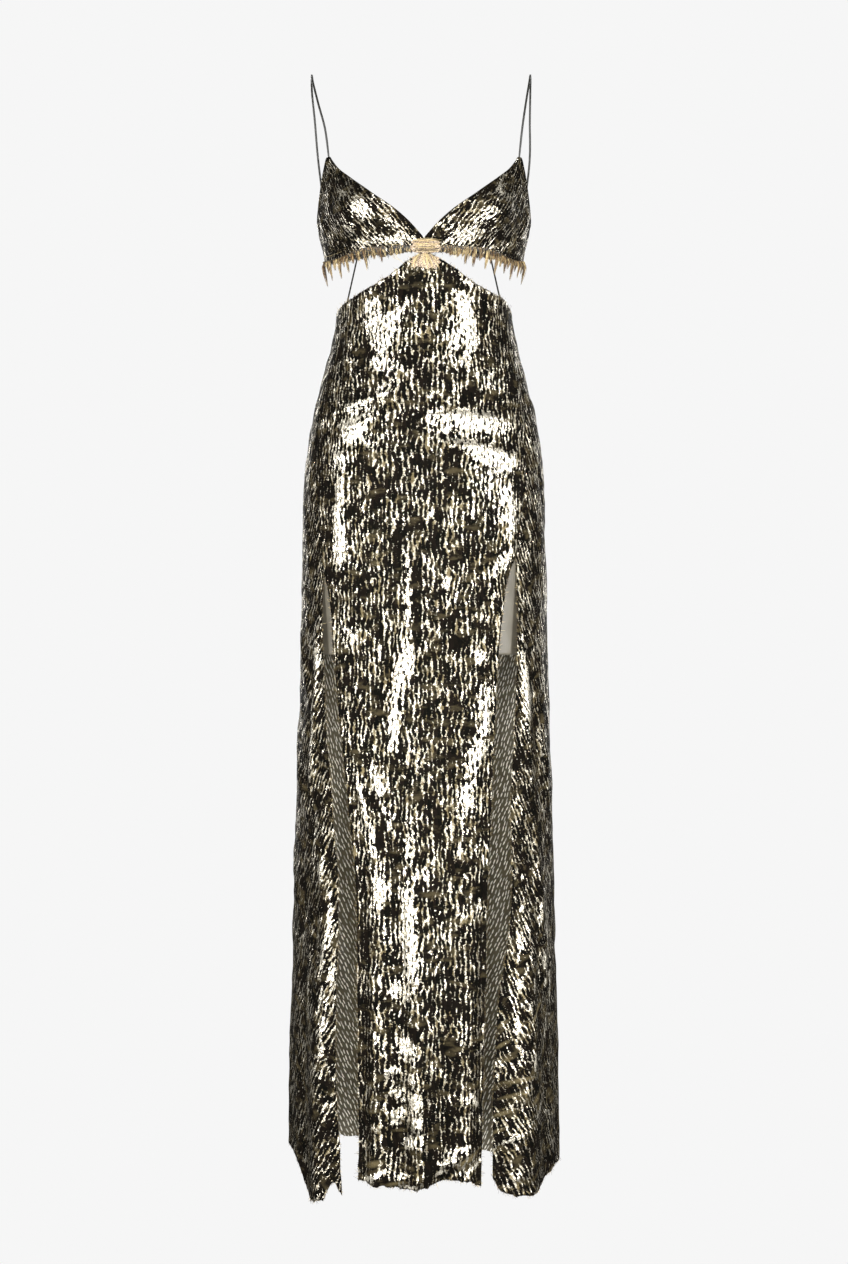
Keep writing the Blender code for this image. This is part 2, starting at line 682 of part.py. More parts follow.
def extrude_outline(name, outline, corner, depth, material, holes=()):
    """Plate from a flat outline: corner(a, b, layer) gives each point, layer 0 or 1 times depth."""
    mesh = bmesh.new()
    layers = []
    loops = [outline] + list(holes)
    for layer in (-0.5, 0.5):
        rings = [[mesh.verts.new(corner(a, b, layer * depth)) for a, b in loop] for loop in loops]
        edges = [mesh.edges.new((ring[i], ring[(i + 1) % len(ring)])) for ring in rings for i in range(len(ring))]
        bmesh.ops.triangle_fill(mesh, edges=edges, use_beauty=True)
        layers.append(rings)
    for low, high in zip(*layers):
        for i in range(len(low)):
            j = (i + 1) % len(low)
            mesh.faces.new((low[i], low[j], high[j], high[i]))
    bmesh.ops.recalc_face_normals(mesh, faces=mesh.faces)
    return add_object(name, mesh, material)


def build_zip_slider(material):
    """Slider at the top of the zip: a flat plate with the arch that holds the pull tab."""
    crossbar, outward, upward = zip_axes()
    plate_low = SLIDER_LIFT - CROSSBAR_OUT
    plate_high = plate_low + SLIDER_PLATE

    def beside(out, up, off):
        return crossbar + outward * out + upward * up + ACROSS * off

    plate = [(plate_low, -SLIDER_DOWN), (plate_high, -SLIDER_DOWN), (plate_high, SLIDER_UP), (plate_low, SLIDER_UP)]
    body = extrude_outline("zip_slider", plate, beside, 2 * SLIDER_HALF_WIDTH, material)

    turns = [math.radians(angle) for angle in steps(-90.0, 90.0, 8)]
    foot = plate_high - 0.0002
    arch = [(foot, -ARCH_OUTER)] + [(ARCH_OUTER * math.cos(t), ARCH_OUTER * math.sin(t)) for t in turns]
    arch += [(foot, ARCH_OUTER), (foot, ARCH_INNER)]
    arch += [(ARCH_INNER * math.cos(t), ARCH_INNER * math.sin(t)) for t in reversed(turns)] + [(foot, -ARCH_INNER)]
    bridge = extrude_outline("zip_bridge_form", arch, beside, 2 * ARCH_HALF_WIDTH, material)
    bridge.hide_render = True
    bridge.display_type = "WIRE"
    union = body.modifiers.new("bridge", "BOOLEAN")
    union.operation = "UNION"
    union.object = bridge
    return body


def build_zip_pull(material):
    """Pull tab, hung from its crossbar through the slider's arch."""
    crossbar, outward, upward = zip_axes()
    lean = Matrix.Rotation(math.radians(-PULL_CLOTH_TILT), 3, "X")
    down = -(lean @ upward)
    off_face = lean @ outward
    outline = list(PULL_OUTLINE) + [(-half, along) for half, along in reversed(PULL_OUTLINE[:-1])]
    half, start, end = PULL_EYE
    eye = [(-half, start), (half, start), (half, end), (-half, end)]

    def corner(off, along, out):
        return ACROSS * off + down * along + off_face * out

    pull = extrude_outline("zip_pull", outline, corner, PULL_THICKNESS, material, holes=[eye])
    pull.location = crossbar
    return pull


# ---------------------------------------------------------------- the gown
def clear_scene():
    """Remove whatever the scene holds."""
    for found in list(bpy.data.objects):
        bpy.data.objects.remove(found, do_unlink=True)


def add_root():
    """Empty that every piece hangs from, where the shoulders hold the straps."""
    root = bpy.data.objects.new("gown", None)
    bpy.context.collection.objects.link(root)
    return root


clear_scene()
GOWN = add_root()
FOIL = make_material("foil print cloth", (0.62, 0.58, 0.47), 0.32, 0.85)
SATIN = make_material("lining satin", (0.31, 0.29, 0.23), 0.45, 0.0)
ROULEAU = make_material("rouleau cord", (0.035, 0.035, 0.028), 0.60, 0.0)
THREAD = make_material("gold and dark thread", (0.28, 0.22, 0.12), 0.45, 0.5)
NYLON = make_material("woven tape", (0.12, 0.11, 0.09), 0.70, 0.0)
ZIP_METAL = make_material("lacquered zinc", (0.20, 0.18, 0.14), 0.35, 0.8)

build_cup("cup_left", -1, FOIL)
build_cup("cup_right", 1, FOIL)
build_join(THREAD)
THREAD_DICE = random.Random(THREAD_SEED)
build_fringe("fringe_left", -1, THREAD, THREAD_DICE)
build_fringe("fringe_right", 1, THREAD, THREAD_DICE)
build_straps(ROULEAU)
build_back_cords(ROULEAU)
build_skirt(FOIL)
build_lining(SATIN)
build_zip_tape(NYLON)
build_zip_slider(ZIP_METAL)
build_zip_pull(ZIP_METAL)
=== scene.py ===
"""Looks of the evening gown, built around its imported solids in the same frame.

The gown is worn but the wearer isn't shown: two triangular cups with a frayed band under them, thin
rouleau straps, a lined skirt of three panels with two slits and raw hems, and a concealed zip. The
cloth is a silk printed with pale metal foil, broken into dark drops. Every sheet repeats the surface
of the solid that it stands for, then gets its creases, wrong side, raw edges and threads.
Heights are measured up from the level of the front hem, angles in degrees from centre front, and
lengths in metres where no other unit is named.
"""

from __future__ import annotations

import logging
import math
from collections.abc import Sequence
from dataclasses import dataclass, field
from enum import Enum
from functools import cached_property
from typing import NamedTuple

import bpy
import numpy as np
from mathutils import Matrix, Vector

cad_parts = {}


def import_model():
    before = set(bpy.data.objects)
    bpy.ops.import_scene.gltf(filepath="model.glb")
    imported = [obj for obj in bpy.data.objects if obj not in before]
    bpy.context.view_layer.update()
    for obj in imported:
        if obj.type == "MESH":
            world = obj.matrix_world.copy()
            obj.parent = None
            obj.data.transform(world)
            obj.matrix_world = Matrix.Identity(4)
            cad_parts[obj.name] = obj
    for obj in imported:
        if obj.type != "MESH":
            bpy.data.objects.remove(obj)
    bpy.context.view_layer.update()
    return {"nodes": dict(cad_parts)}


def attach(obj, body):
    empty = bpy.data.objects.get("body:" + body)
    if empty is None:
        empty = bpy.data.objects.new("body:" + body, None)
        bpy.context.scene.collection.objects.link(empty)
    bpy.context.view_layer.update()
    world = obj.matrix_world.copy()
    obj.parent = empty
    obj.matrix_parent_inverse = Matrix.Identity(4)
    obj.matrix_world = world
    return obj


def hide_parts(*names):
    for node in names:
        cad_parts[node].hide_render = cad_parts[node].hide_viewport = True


Reals = np.ndarray | float
Finish = bpy.types.Material
Piece = bpy.types.Object
Socket = bpy.types.NodeSocket
Taper = Sequence[tuple[float, float]]       # shares of a thread's radius at shares of the way along

LOG = logging.getLogger("gown")
GOWN_BODY = "gown"
MM = 0.001

SHOULDER_HEIGHT = 1.5225        # undersides of the shoulder straps above the front hem
SEAM_HALF_ANGLE = math.degrees(0.5 * 0.0003 / 0.12)     # half the clearance at a seam, on the figure
GRAIN = "grain"                 # UV map of every sheet, in metres along and across the cloth
PAINTED_LIGHT = "sparse"               # attribute of painted light: 1 where drops give way to pale foil as a painted highlight, -1 where they turn khaki as painted shade
TINT = "tint"                   # attribute: 0 for a dark thread, 1 for a gold one
EVEN = ((0.0, 1.0), (1.0, 1.0))             # taper of a thread that is as thick all along


class Side(Enum):
    """Side of the gown as it is seen from the front."""

    LEFT = -1
    RIGHT = 1

    @property
    def word(self) -> str:
        """Name used in the pieces."""
        return self.name.lower()


# ---------------------------------------------------------------- the figure's tables
@dataclass(frozen=True)
class Table:
    """Rows under named columns. The first column rises."""

    columns: str
    rows: Sequence[Sequence[float]]

    def column(self, name: str) -> np.ndarray:
        """Every value of a column."""
        return np.array(self.rows, dtype=float)[:, self.columns.split().index(name)]

    def at(self, name: str, place: Reals) -> np.ndarray:
        """Values of a column on a smooth curve through its rows that never overshoots.

        Args:
            name: the column to read.
            place: places along the first column.

        Returns:
            The column's values at those places.
        """
        keys, values = self.column(self.columns.split()[0]), self.column(name)
        rises = np.diff(values) / np.diff(keys)
        before, after = rises[:-1], rises[1:]
        same_way = before * after > 0.0
        middle = np.where(same_way, 2.0 * before * after / np.where(same_way, before + after, 1.0), 0.0)
        slopes = np.concatenate([rises[:1], middle, rises[-1:]])
        place = np.clip(place, keys[0], keys[-1])
        i = np.clip(np.searchsorted(keys, place, side="right") - 1, 0, len(keys) - 2)
        width = keys[i + 1] - keys[i]
        t = (place - keys[i]) / width
        start_pull = t * (1.0 - t) ** 2 * width * slopes[i]
        end_pull = t * t * (t - 1.0) * width * slopes[i + 1]
        return values[i] + (values[i + 1] - values[i]) * t * t * (3.0 - 2.0 * t) + start_pull + end_pull


class Fold(NamedTuple):
    """Soft vertical fold that deepens down to the hem: place and spread as shares of the panel."""

    across: float
    spread: float
    depth: float
    drift: float
    start: float


class Mark(NamedTuple):
    """Soft leaning oval on the cloth, in degrees and millimetres.

    In a table of creases the weight is a height in millimetres, - for a trough. In a table of painted
    light it says how far the dark drops thin out to pale foil, a painted highlight, or with - how far
    they turn khaki, a painted shade.
    """

    angle: float
    height: float
    half_length: float
    half_width: float
    lean: float
    weight: float


class Tassel(NamedTuple):
    """Clump of threads under a cup: its angle, how far it hangs and its width, in millimetres."""

    angle: float
    length: float
    width: float


class Strand(NamedTuple):
    """Single pale thread on or below the left cup: angles, drops of its two ends and sag, in millimetres."""

    start: float
    end: float
    start_drop: float
    end_drop: float
    sag: float


SKIRT_GIRTH = Table("height half_width front back", (
    (-0.03, 0.183, 0.158, 0.17), (0.1, 0.181, 0.155, 0.166), (0.3, 0.181, 0.147, 0.156),
    (0.5, 0.178, 0.138, 0.145), (0.7, 0.172, 0.127, 0.134), (0.85, 0.169, 0.118, 0.126),
    (0.95, 0.1675, 0.111, 0.121), (1.03, 0.1575, 0.104, 0.113), (1.1, 0.1415, 0.097, 0.099),
    (1.17, 0.1248, 0.092, 0.087), (1.2, 0.1215, 0.092, 0.085), (1.235, 0.1235, 0.0955, 0.086),
    (1.27, 0.128, 0.1, 0.088),
))
BODICE_GIRTH = Table("height half_width front back", (
    (1.2, 0.13, 0.093, 0.088), (1.265, 0.1376, 0.1, 0.091), (1.3, 0.1455, 0.1, 0.093),
    (1.33, 0.149, 0.099, 0.094), (1.36, 0.149, 0.096, 0.093), (1.41, 0.1485, 0.092, 0.09),
))
CUP_DOME_ANGLE = 32.0
CUP_DOME_SPREAD = 20.0          # degrees
CUP_DOME_HEIGHT = 1.325
CUP_DOME_REACH = 0.043          # up and down
CUP_DOME_DEPTH = 0.026          # how far it stands out

CUP_EDGES = Table("angle bottom top", (
    (0.1, 1.265, 1.2825), (8, 1.2645, 1.305), (15, 1.264, 1.3215), (23, 1.2635, 1.337), (31, 1.263, 1.3525),
    (41, 1.2615, 1.369), (51, 1.26, 1.3835), (57.5, 1.2595, 1.396), (60.5, 1.2595, 1.402),
    (63.5, 1.2595, 1.402), (68, 1.26, 1.385), (75, 1.2615, 1.35), (82, 1.263, 1.324), (90, 1.265, 1.316),
    (100, 1.27, 1.32), (112, 1.278, 1.326), (126, 1.288, 1.324), (142, 1.298, 1.32),
))
SKIRT_TOP = Table("angle left right", (
    (0, 1.2645, 1.2645), (6, 1.2575, 1.259), (13, 1.248, 1.251), (21, 1.235, 1.2415), (30, 1.2255, 1.229),
    (40, 1.217, 1.2205), (52, 1.2085, 1.2125), (65, 1.202, 1.207), (76, 1.195, 1.198), (90, 1.191, 1.192),
    (103, 1.198, 1.198), (115, 1.208, 1.208), (123, 1.202, 1.202), (137, 1.176, 1.176), (157, 1.144, 1.144),
    (180, 1.13, 1.13),
))
SKIRT_CORNER_ANGLE = 115.0

FRONT_HEM = Table("angle height", (
    (-29, 0.021), (-18, 0.017), (-8, 0.012), (2, 0.017), (12.5, 0.026), (19, 0.022), (25, 0.014),
))
SIDE_BACK_HEM = Table("angle height", (
    (-180, 0.006), (-145, 0.022), (-118, 0.034), (-90, 0.044), (-78, 0.031), (-72, 0.024), (-67.5, -0.002),
    (-58, -0.017), (-47, -0.013), (-42.5, 0.012), (-38, -0.003), (33, 0.02), (37, 0.002), (45, -0.007),
    (54, -0.006), (64, 0.002), (78, 0.013), (90, 0.02), (112, 0.028), (145, 0), (180, 0.006),
))
# angles at which the four slit edges hang
SLIT_EDGES = Table("height left_front left_side right_front right_side", (
    (-0.02, 29.3, 37.8, 25.6, 33.6), (0.09, 29.4, 41.2, 26.4, 33), (0.17, 29.6, 42.4, 27, 33.4),
    (0.26, 29.8, 41.4, 27.6, 34.8), (0.34, 29.8, 39.8, 27.8, 39), (0.415, 30.9, 39.6, 28.4, 41.2),
    (0.49, 34, 42.8, 30.4, 41), (0.575, 38, 46.2, 32, 42.6), (0.64, 41.2, 49.6, 33.6, 45),
    (0.711, 44.6, 52, 35.6, 46.8), (0.794, 48.2, 54, 40, 47.8), (0.825, 51.5, 54.4, 43.6, 47.8),
    (0.843, 54.2, 54.4, 47.6, 47.8),
))
SLIT_TOP = 0.843
SLIT_TILT = 0.012               # the right slit starts this much higher than the middle
SEAM_TOP = {"left": 78.0, "right": 76.0}

FRONT_FOLDS = [Fold(*row) for row in (
    (0.04, 0.07, -0.006, 0, 0.7), (0.17, 0.08, 0.009, -0.02, 0.74), (0.34, 0.08, -0.01, -0.02, 0.7),
    (0.5, 0.08, 0.01, -0.06, 0.8), (0.66, 0.08, -0.01, 0.04, 0.6), (0.83, 0.09, 0.01, 0.05, 0.76),
    (1, 0.06, -0.008, 0, 0.66),
)]
LEFT_FOLDS = [Fold(*row) for row in (
    (0, 0.03, -0.008, 0, 0.5), (0.08, 0.04, 0.007, 0, 0.62), (0.19, 0.05, -0.007, 0, 0.56),
    (0.37, 0.05, 0.008, 0.02, 0.5), (0.5, 0.05, -0.01, 0, 0.72), (0.62, 0.05, 0.009, 0.02, 0.66),
    (0.75, 0.05, -0.01, 0, 0.78), (0.87, 0.05, 0.009, -0.02, 0.7),
)]
RIGHT_FOLDS = [Fold(*row) for row in (
    (0, 0.05, -0.018, 0, 0.42), (0.12, 0.05, 0.007, 0.02, 0.64), (0.24, 0.05, -0.006, 0, 0.52),
    (0.4, 0.05, 0.007, 0, 0.56), (0.53, 0.05, -0.009, 0.02, 0.7), (0.66, 0.05, 0.009, 0, 0.68),
    (0.79, 0.05, -0.01, -0.02, 0.76), (0.9, 0.05, 0.008, 0, 0.66),
)]
LINING_HEM = 0.720
LINING_INSET = 0.0020           # from the skirt's outer face to the lining's
LINING_EASE = 0.0060            # how much further in the lining hangs at its hem
LINING_OVER_ZIP = 0.0012        # how much further in it lies over the zip's tapes
LINING_BELOW_EDGE = 0.015       # lining's top edge below the skirt's, as a share of the upper skirt

# ---------------------------------------------------------------- creases, and light and shade painted into the print
SKIRT_CREASES = [Mark(*row) for row in (
    # midriff
    (-22, 1165, 45, 16, 12, 2.2), (24, 1175, 50, 15, -14, 2.2), (2, 1130, 70, 14, 0, -1.8),
    (-58, 1120, 40, 9, -28, -2), (56, 1110, 40, 9, 26, 1.8),
    # across the hips
    (-37, 1061, 52, 5.5, 70, 2.8), (-35, 1048, 46, 5.5, 70, -2.8), (-38, 1026, 24, 10, 50, 2.6),
    (-44, 988, 26, 7.5, 80, 2.2), (-22, 996, 26, 6.5, -84, 1.8), (24, 1038, 52, 9.5, -86, 3.6),
    (20, 1014, 40, 6.5, -84, -3), (30, 995, 56, 7.5, -78, 3.4), (36, 974, 44, 6, -78, -2.2),
    (38, 1060, 24, 7, 62, -1.8), (6, 996, 7, 6, 0, -3), (-42, 935, 75, 10, 2, 2.8),
    (44, 910, 70, 11, -2, 2.8), (-15, 930, 50, 12, 8, -1.4), (14, 900, 60, 13, -6, -1.4),
    (0, 945, 60, 11, 3, 1),
    # thighs: the long ridge left of the middle and the one above the right slit edge
    (-7.5, 790, 80, 6, 1, 3), (-12, 670, 80, 8, 4, 3.4), (-16, 590, 50, 8, -6, 2.6),
    (-20, 550, 60, 8, -14, 3.2), (-27, 521, 60, 6.5, -16, 3), (-14, 480, 50, 6.5, -16, 2.8),
    (-19, 690, 70, 11, 4, -2.4), (2, 620, 120, 13, 2, -3), (25, 716, 16, 11, 0, 3),
    (28.5, 648, 50, 9, 6, 3.2), (23, 585, 40, 10, 14, 3), (18, 520, 50, 8, 12, 3), (36, 842, 30, 8, 43, 2.8),
    (-33, 745, 26, 10, 60, 2.2), (-36, 790, 40, 8, -22, 1.8),
    # lower front
    (-19, 410, 50, 9, 0, 3), (-7, 380, 80, 8.5, -2, 3.6), (-1, 360, 80, 7, -2, -2.6),
    (-6, 310, 60, 8.5, -2, 3), (11, 400, 50, 5, 0, 2), (20, 360, 60, 7, 0, 2.4), (13, 300, 90, 12, 3, -2.4),
    (13, 225, 30, 8, 0, 2.6), (-11, 200, 40, 13, 24, 3),
    # the sharp fold: lit on its left, dark on its right
    (-3.5, 130, 50, 10, 0, 3.8), (2.5, 130, 50, 8, 0, -3.6), (-10, 108, 36, 7, -66, 2.4),
    (-12, 150, 36, 7, -58, -2), (14, 175, 40, 6.5, 56, 2.2), (-19, 135, 35, 7, -60, -2.4),
    (-3, 85, 50, 7.5, 88, -2.6), (21, 128, 14, 10, 0, 2.6), (-22, 32, 30, 5.5, -72, 2.8),
    (-10, 25, 32, 5.5, 88, 2.8), (7, 41, 44, 5.5, 66, 3.2), (9, 28, 50, 5, 66, -2.8),
    (17, 62, 26, 6, 56, 2.8), (19, 110, 30, 6.5, 58, -2),
    # left side, round to the back
    (-58, 700, 60, 7.5, 0, 3), (-60, 580, 70, 7, 4, 2.6), (-49.5, 440, 50, 7, 0, 2.6),
    (-46, 330, 80, 8, 3, 3.4), (-55, 320, 80, 8, 3, -2.6), (-48.5, 200, 50, 7, 6, 3),
    (-70, 690, 70, 8, -24, 2.2), (-76, 560, 70, 8, -30, 2.4), (-82, 420, 70, 8, -34, 2.2),
    (-70, 860, 60, 8, -14, 1.8), (-80, 960, 50, 8, 34, -2), (-104, 1010, 50, 7.5, 62, 2.4),
    (-112, 975, 50, 7.5, 68, -2.2), (-128, 880, 80, 9, -8, 2.4), (-146, 1020, 45, 7, 74, 2.6),
    (-152, 960, 50, 8, -70, 2.2), (-164, 860, 70, 8, -18, 2.4), (-122, 600, 110, 9, 5, 2.8),
    (-150, 560, 120, 9.5, -4, 3), (-168, 440, 120, 8.5, 3, 2.6), (-136, 300, 90, 8, 9, 2.8),
    (-112, 260, 70, 8, -12, 2.4), (-158, 190, 60, 7, 40, 2.6), (-126, 100, 50, 6.5, 58, -2.4),
    (-66, 40, 35, 6, 40, 2.4),
    # right side, round to the back
    (53, 670, 80, 8, -3, 3.2), (61, 630, 80, 7, -4, -2.4), (72, 560, 80, 6.5, -5, 2.6),
    (60, 420, 80, 7.5, -6, 3), (50, 300, 80, 11, 0, 3.6), (58, 290, 80, 7, 0, -3), (67, 300, 70, 8, -4, 3.4),
    (48, 200, 50, 7, 54, 2.4), (54, 178, 30, 6, 0, 2.4), (54, 120, 50, 6, 70, -2.6), (42, 74, 34, 5.5, 74, 3),
    (60, 80, 45, 6, 66, 2.8), (50, 30, 40, 5.5, 60, 2.6), (78, 930, 60, 8, -30, -2),
    (86, 1060, 50, 7.5, -56, 2), (106, 990, 50, 7.5, -66, 2.6), (120, 900, 70, 8.5, 10, 2.4),
    (140, 1030, 45, 7, -72, 2.4), (150, 945, 50, 8, 64, 2.2), (166, 820, 80, 8.5, 14, 2.4),
    (130, 620, 120, 9, -6, 2.8), (156, 500, 110, 9, 5, 2.8), (172, 330, 100, 8.5, -4, 2.6),
    (118, 380, 100, 8.5, 8, 2.6), (142, 220, 70, 8, -34, 2.6), (110, 130, 60, 7, -50, 2.4),
    (164, 80, 45, 6.5, 62, -2.4),
)]
# painted highlights where the drops thin out to pale foil, and with - painted khaki shade
SKIRT_PAINTED_LIGHT = [Mark(*row) for row in (
    # midriff and hips
    (-31, 1172, 22, 20, 0, 1), (-24, 1140, 28, 10, 16, 0.7), (-15, 1186, 22, 5, 24, 0.7),
    (-36, 1196, 10, 8, 60, 0.7), (24, 1202, 12, 10, -50, 0.8), (27, 1130, 24, 6, 14, 0.6),
    (-6, 1090, 34, 5, -4, 0.5), (28, 1183, 30, 10, -10, 0.9), (21, 1150, 24, 14, 24, 0.7),
    (-20, 1105, 45, 16, 14, 0.45), (16, 1110, 50, 10, -10, 0.4), (31, 1150, 40, 12, -8, 0.4),
    (-33, 1040, 24, 30, 0, 0.45), (22, 1030, 20, 45, 0, 0.5), (33, 955, 45, 22, 10, 0.45),
    (-37, 1059, 34, 4, 70, 0.7), (-39, 1024, 18, 17, 30, 1), (-44, 987, 16, 9, 80, 0.8),
    (-28, 1004, 16, 9, -84, 0.5), (24, 1037, 50, 12, -86, 1), (30, 995, 48, 9, -78, 0.9),
    (38, 982, 28, 11, -80, 0.9), (-43, 915, 60, 9, 1, 1), (-41, 863, 22, 10, 4, 0.8),
    (44, 910, 42, 13, -2, 1), (37, 842, 26, 8, 43, 0.9), (10, 815, 8, 6, 0, 0.8), (-36, 743, 16, 18, 0, 0.7),
    # the long line left of the middle and the streaks that it splits into
    (-7, 800, 50, 4, 0, 0.9), (-7, 715, 32, 8, 2, 1), (-12, 683, 34, 8, 4, 1), (-13.5, 622, 34, 8, 2, 0.9),
    (-20, 550, 30, 9, -14, 0.9), (-14, 490, 26, 6, -20, 0.7), (-27, 521, 36, 5, -16, 0.9),
    (-23, 468, 22, 6, -4, 0.7), (-19, 410, 32, 10, 0, 1), (-6.5, 474, 22, 4, 0, 0.8), (-7, 372, 62, 9, -2, 1),
    (1.6, 426, 20, 4, 0, 0.7), (11, 407, 22, 3, 0, 0.7),
    # above the right slit edge
    (25, 718, 12, 11, 0, 1), (28.5, 648, 40, 9, 6, 0.9), (23, 590, 20, 13, 14, 0.9),
    (18, 528, 34, 10, 12, 0.9), (27.5, 460, 16, 5, 0, 0.7), (15, 458, 11, 5, 0, 0.7),
    (24.5, 387, 9, 8, 0, 0.7),
    # lower front
    (-6, 326, 40, 9, -2, 1), (-10, 272, 13, 14, 0, 0.9), (-8, 200, 14, 11, -10, 0.9),
    (-8, 135, 50, 16, 0, 0.35), (-6.5, 197, 13, 8, 0, 0.9), (-14, 168, 8, 7, 0, 0.8),
    (-4.5, 160, 7, 9, 0, 0.8), (-12.5, 139, 10, 6, 80, 0.8), (-3.5, 130, 13, 9, -8, 1),
    (-12, 114, 12, 5, 84, 0.8), (-12.5, 102, 7, 6, 0, 0.9), (-2.5, 100, 11, 6, 0, 1), (-6, 73, 10, 8, 0, 1),
    (-1, 78, 8, 3, 0, 0.8), (15.5, 208, 14, 4, 0, 0.9), (18.5, 174, 9, 3, 8, 0.8), (-20, 213, 9, 3, -16, 0.8),
    (-17, 190, 8, 3, -6, 0.8), (18, 131, 6, 5, 0, 1), (22, 126, 7, 5, 0, 1),
    # painted highlights in pale wavy lines just above the front hem, with painted khaki shade between them
    (-24, 25, 8, 5, 84, 1.3), (-18.5, 34, 13, 3.6, 60, 1.5), (-9.5, 29, 9, 3.4, 72, 1.4),
    (-5, 17, 17, 3.4, 80, 1.4), (7.2, 33, 20, 3.8, 60, 1.6), (11.5, 51, 14, 3.4, 62, 1.5),
    (16, 67, 14, 3.4, 68, 1.5), (21, 41, 13, 3, 68, 1.3), (-21, 46, 16, 5, 74, -0.9),
    (-11, 20, 18, 4, 84, -0.9), (1.5, 22, 22, 5, 72, -0.9), (12, 41, 22, 4, 62, -0.9),
    (19, 55, 18, 4, 66, -0.9), (-10, 90, 16, 4, 86, -0.8), (-9, 150, 18, 4.5, -80, -0.8),
    # left side panel
    (-58, 713, 30, 8, 0, 0.9), (-60, 590, 50, 6, 4, 0.6), (-49.5, 432, 20, 6, 0, 0.9),
    (-56, 470, 50, 5, 4, 0.6), (-62, 250, 60, 4, 6, 0.5), (-44, 369, 36, 5, 0, 1),
    (-47.5, 318, 30, 5, 8, 0.9), (-43.5, 286, 22, 6, 4, 1), (-49, 258, 20, 5, 10, 0.9),
    (-52, 335, 24, 3, 4, 0.7), (-48, 218, 14, 8, 10, 0.9), (-49, 176, 28, 4, 2, 0.8),
    # right side panel
    (53, 675, 65, 9, -3, 1), (66, 600, 60, 5, -6, 0.6), (47.5, 418, 9, 4, 0, 0.9), (47.5, 378, 9, 4, 0, 0.9),
    (45.5, 330, 22, 6, 4, 1), (52, 322, 12, 4, 8, 0.8), (45, 277, 10, 6, 0, 1), (50, 247, 10, 8, 40, 1),
    (43.5, 226, 9, 4, 0, 1), (53, 275, 16, 3.5, 0, 0.9), (60, 368, 18, 6, 14, 1), (57, 335, 12, 3, 0, 0.7),
    (64, 306, 16, 6, -8, 1), (70, 340, 40, 5, -4, 0.8), (74, 270, 50, 5, 2, 0.7), (68, 210, 26, 5, 10, 0.7),
    (66, 274, 12, 4, 0, 0.9), (53.5, 178, 17, 4, 0, 1), (45.8, 185, 14, 2.5, 0, 0.8),
    (42, 72, 18, 3.2, 66, 1.4),
    # painted khaki shade on ripples that slant up from the right slit
    (56, 236, 26, 3.4, 52, -1), (36.5, 225, 14, 2.8, 60, -0.9), (37, 198, 14, 2.8, 66, -1),
    (38.5, 177, 18, 2.8, 70, -0.9), (46, 149, 34, 3.4, 84, -1), (44, 130, 30, 3.2, 78, -0.9),
    (38.5, 106, 20, 3.4, 76, -1), (36, 83, 12, 3, 74, -0.9), (57, 118, 20, 4, 70, -0.8),
    (58, 100, 30, 5, 62, 0.6),
    # hidden sides
    (-104, 1010, 40, 10, 62, 0.7), (-128, 900, 70, 11, -8, 0.8), (-148, 1010, 40, 12, 74, 0.9),
    (-164, 860, 60, 9, -18, 0.7), (-122, 600, 100, 9, 5, 0.8), (-150, 540, 110, 10, -4, 0.9),
    (-138, 300, 80, 9, 9, 0.8), (-112, 250, 60, 8, -12, 0.7), (-160, 170, 50, 10, 40, 0.8),
    (106, 995, 40, 10, -66, 0.7), (122, 890, 60, 10, 10, 0.8), (142, 1020, 40, 11, -72, 0.9),
    (166, 830, 70, 9, 14, 0.7), (130, 620, 110, 10, -6, 0.9), (156, 480, 100, 9, 5, 0.8),
    (118, 370, 90, 8, 8, 0.7), (144, 210, 60, 10, -34, 0.8), (172, 330, 80, 8, -4, 0.7),
)]
CUP_CREASES = [Mark(*row) for row in (
    (20, 1292, 40, 6, 52, 1.6), (30, 1318, 34, 6, 40, -1.4), (38, 1296, 36, 6.5, 58, 1.8),
    (48, 1330, 36, 6.5, 36, 1.6), (55, 1290, 26, 6, 64, -1.4), (60, 1360, 26, 4.5, 10, 1.2),
    (70, 1305, 30, 6, 30, 1.4), (84, 1295, 20, 5.5, -40, -1.2), (104, 1296, 26, 5, -80, 1.2),
    (124, 1305, 24, 5, -84, -1),
)]
# painted highlights on the cups, where the drops thin out to pale foil
CUP_PAINTED_LIGHT = [Mark(*row) for row in (
    (-31, 1322, 18, 12, -35, 1), (-44, 1345, 10, 6, -30, 0.6), (-21, 1279, 36, 6, 88, 0.9),
    (-14, 1296, 16, 7, -50, 0.6), (-40, 1296, 14, 7, -40, 0.6), (22, 1285, 20, 11, 80, 1),
    (32, 1314, 14, 10, 40, 0.8), (40, 1350, 12, 9, 30, 0.6), (11, 1302, 12, 6, 45, 0.6),
    (-112, 1302, 20, 8, 80, 0.6), (112, 1302, 20, 8, 80, 0.6),
)]
TASSELS = {
    Side.LEFT: [Tassel(*row) for row in (
        (82, 35, 8.5), (74, 17, 4.2), (68.5, 27, 5), (62.5, 14, 4.2), (56.5, 27, 6.2), (52.3, 12, 4),
        (48.8, 21, 5), (44, 10, 4.6), (39.5, 8, 3), (34.4, 22, 3.2), (29, 9, 3), (24.5, 14, 1.4),
        (18.5, 6, 2.2),
    )],
    Side.RIGHT: [Tassel(*row) for row in (
        (84, 32, 8.5), (77, 18, 4), (70.7, 23, 5.6), (65.5, 15, 4), (60.5, 28, 5.8), (56.5, 13, 4),
        (53.2, 20, 5), (49, 13, 4), (45, 25, 5), (41, 12, 4), (37.4, 20, 4.6), (33, 10, 3.2), (29, 19, 4.2),
        (23.9, 17, 3.2), (19, 8, 3), (15, 6, 2.2),
    )],
}
STRANDS = [Strand(*row) for row in (
    # a row of stitches along the cup's edge, two that stray over the cup, and two over the gap below it
    (80, 52, -6, -9.2, 0), (39.5, 28, -20, -17, 2.6), (24, 12, -12.5, -8.5, 1.2),
    (18.5, 10, -1, 18.5, 2.2), (20, 13, 1, 11, 3.6),
)]
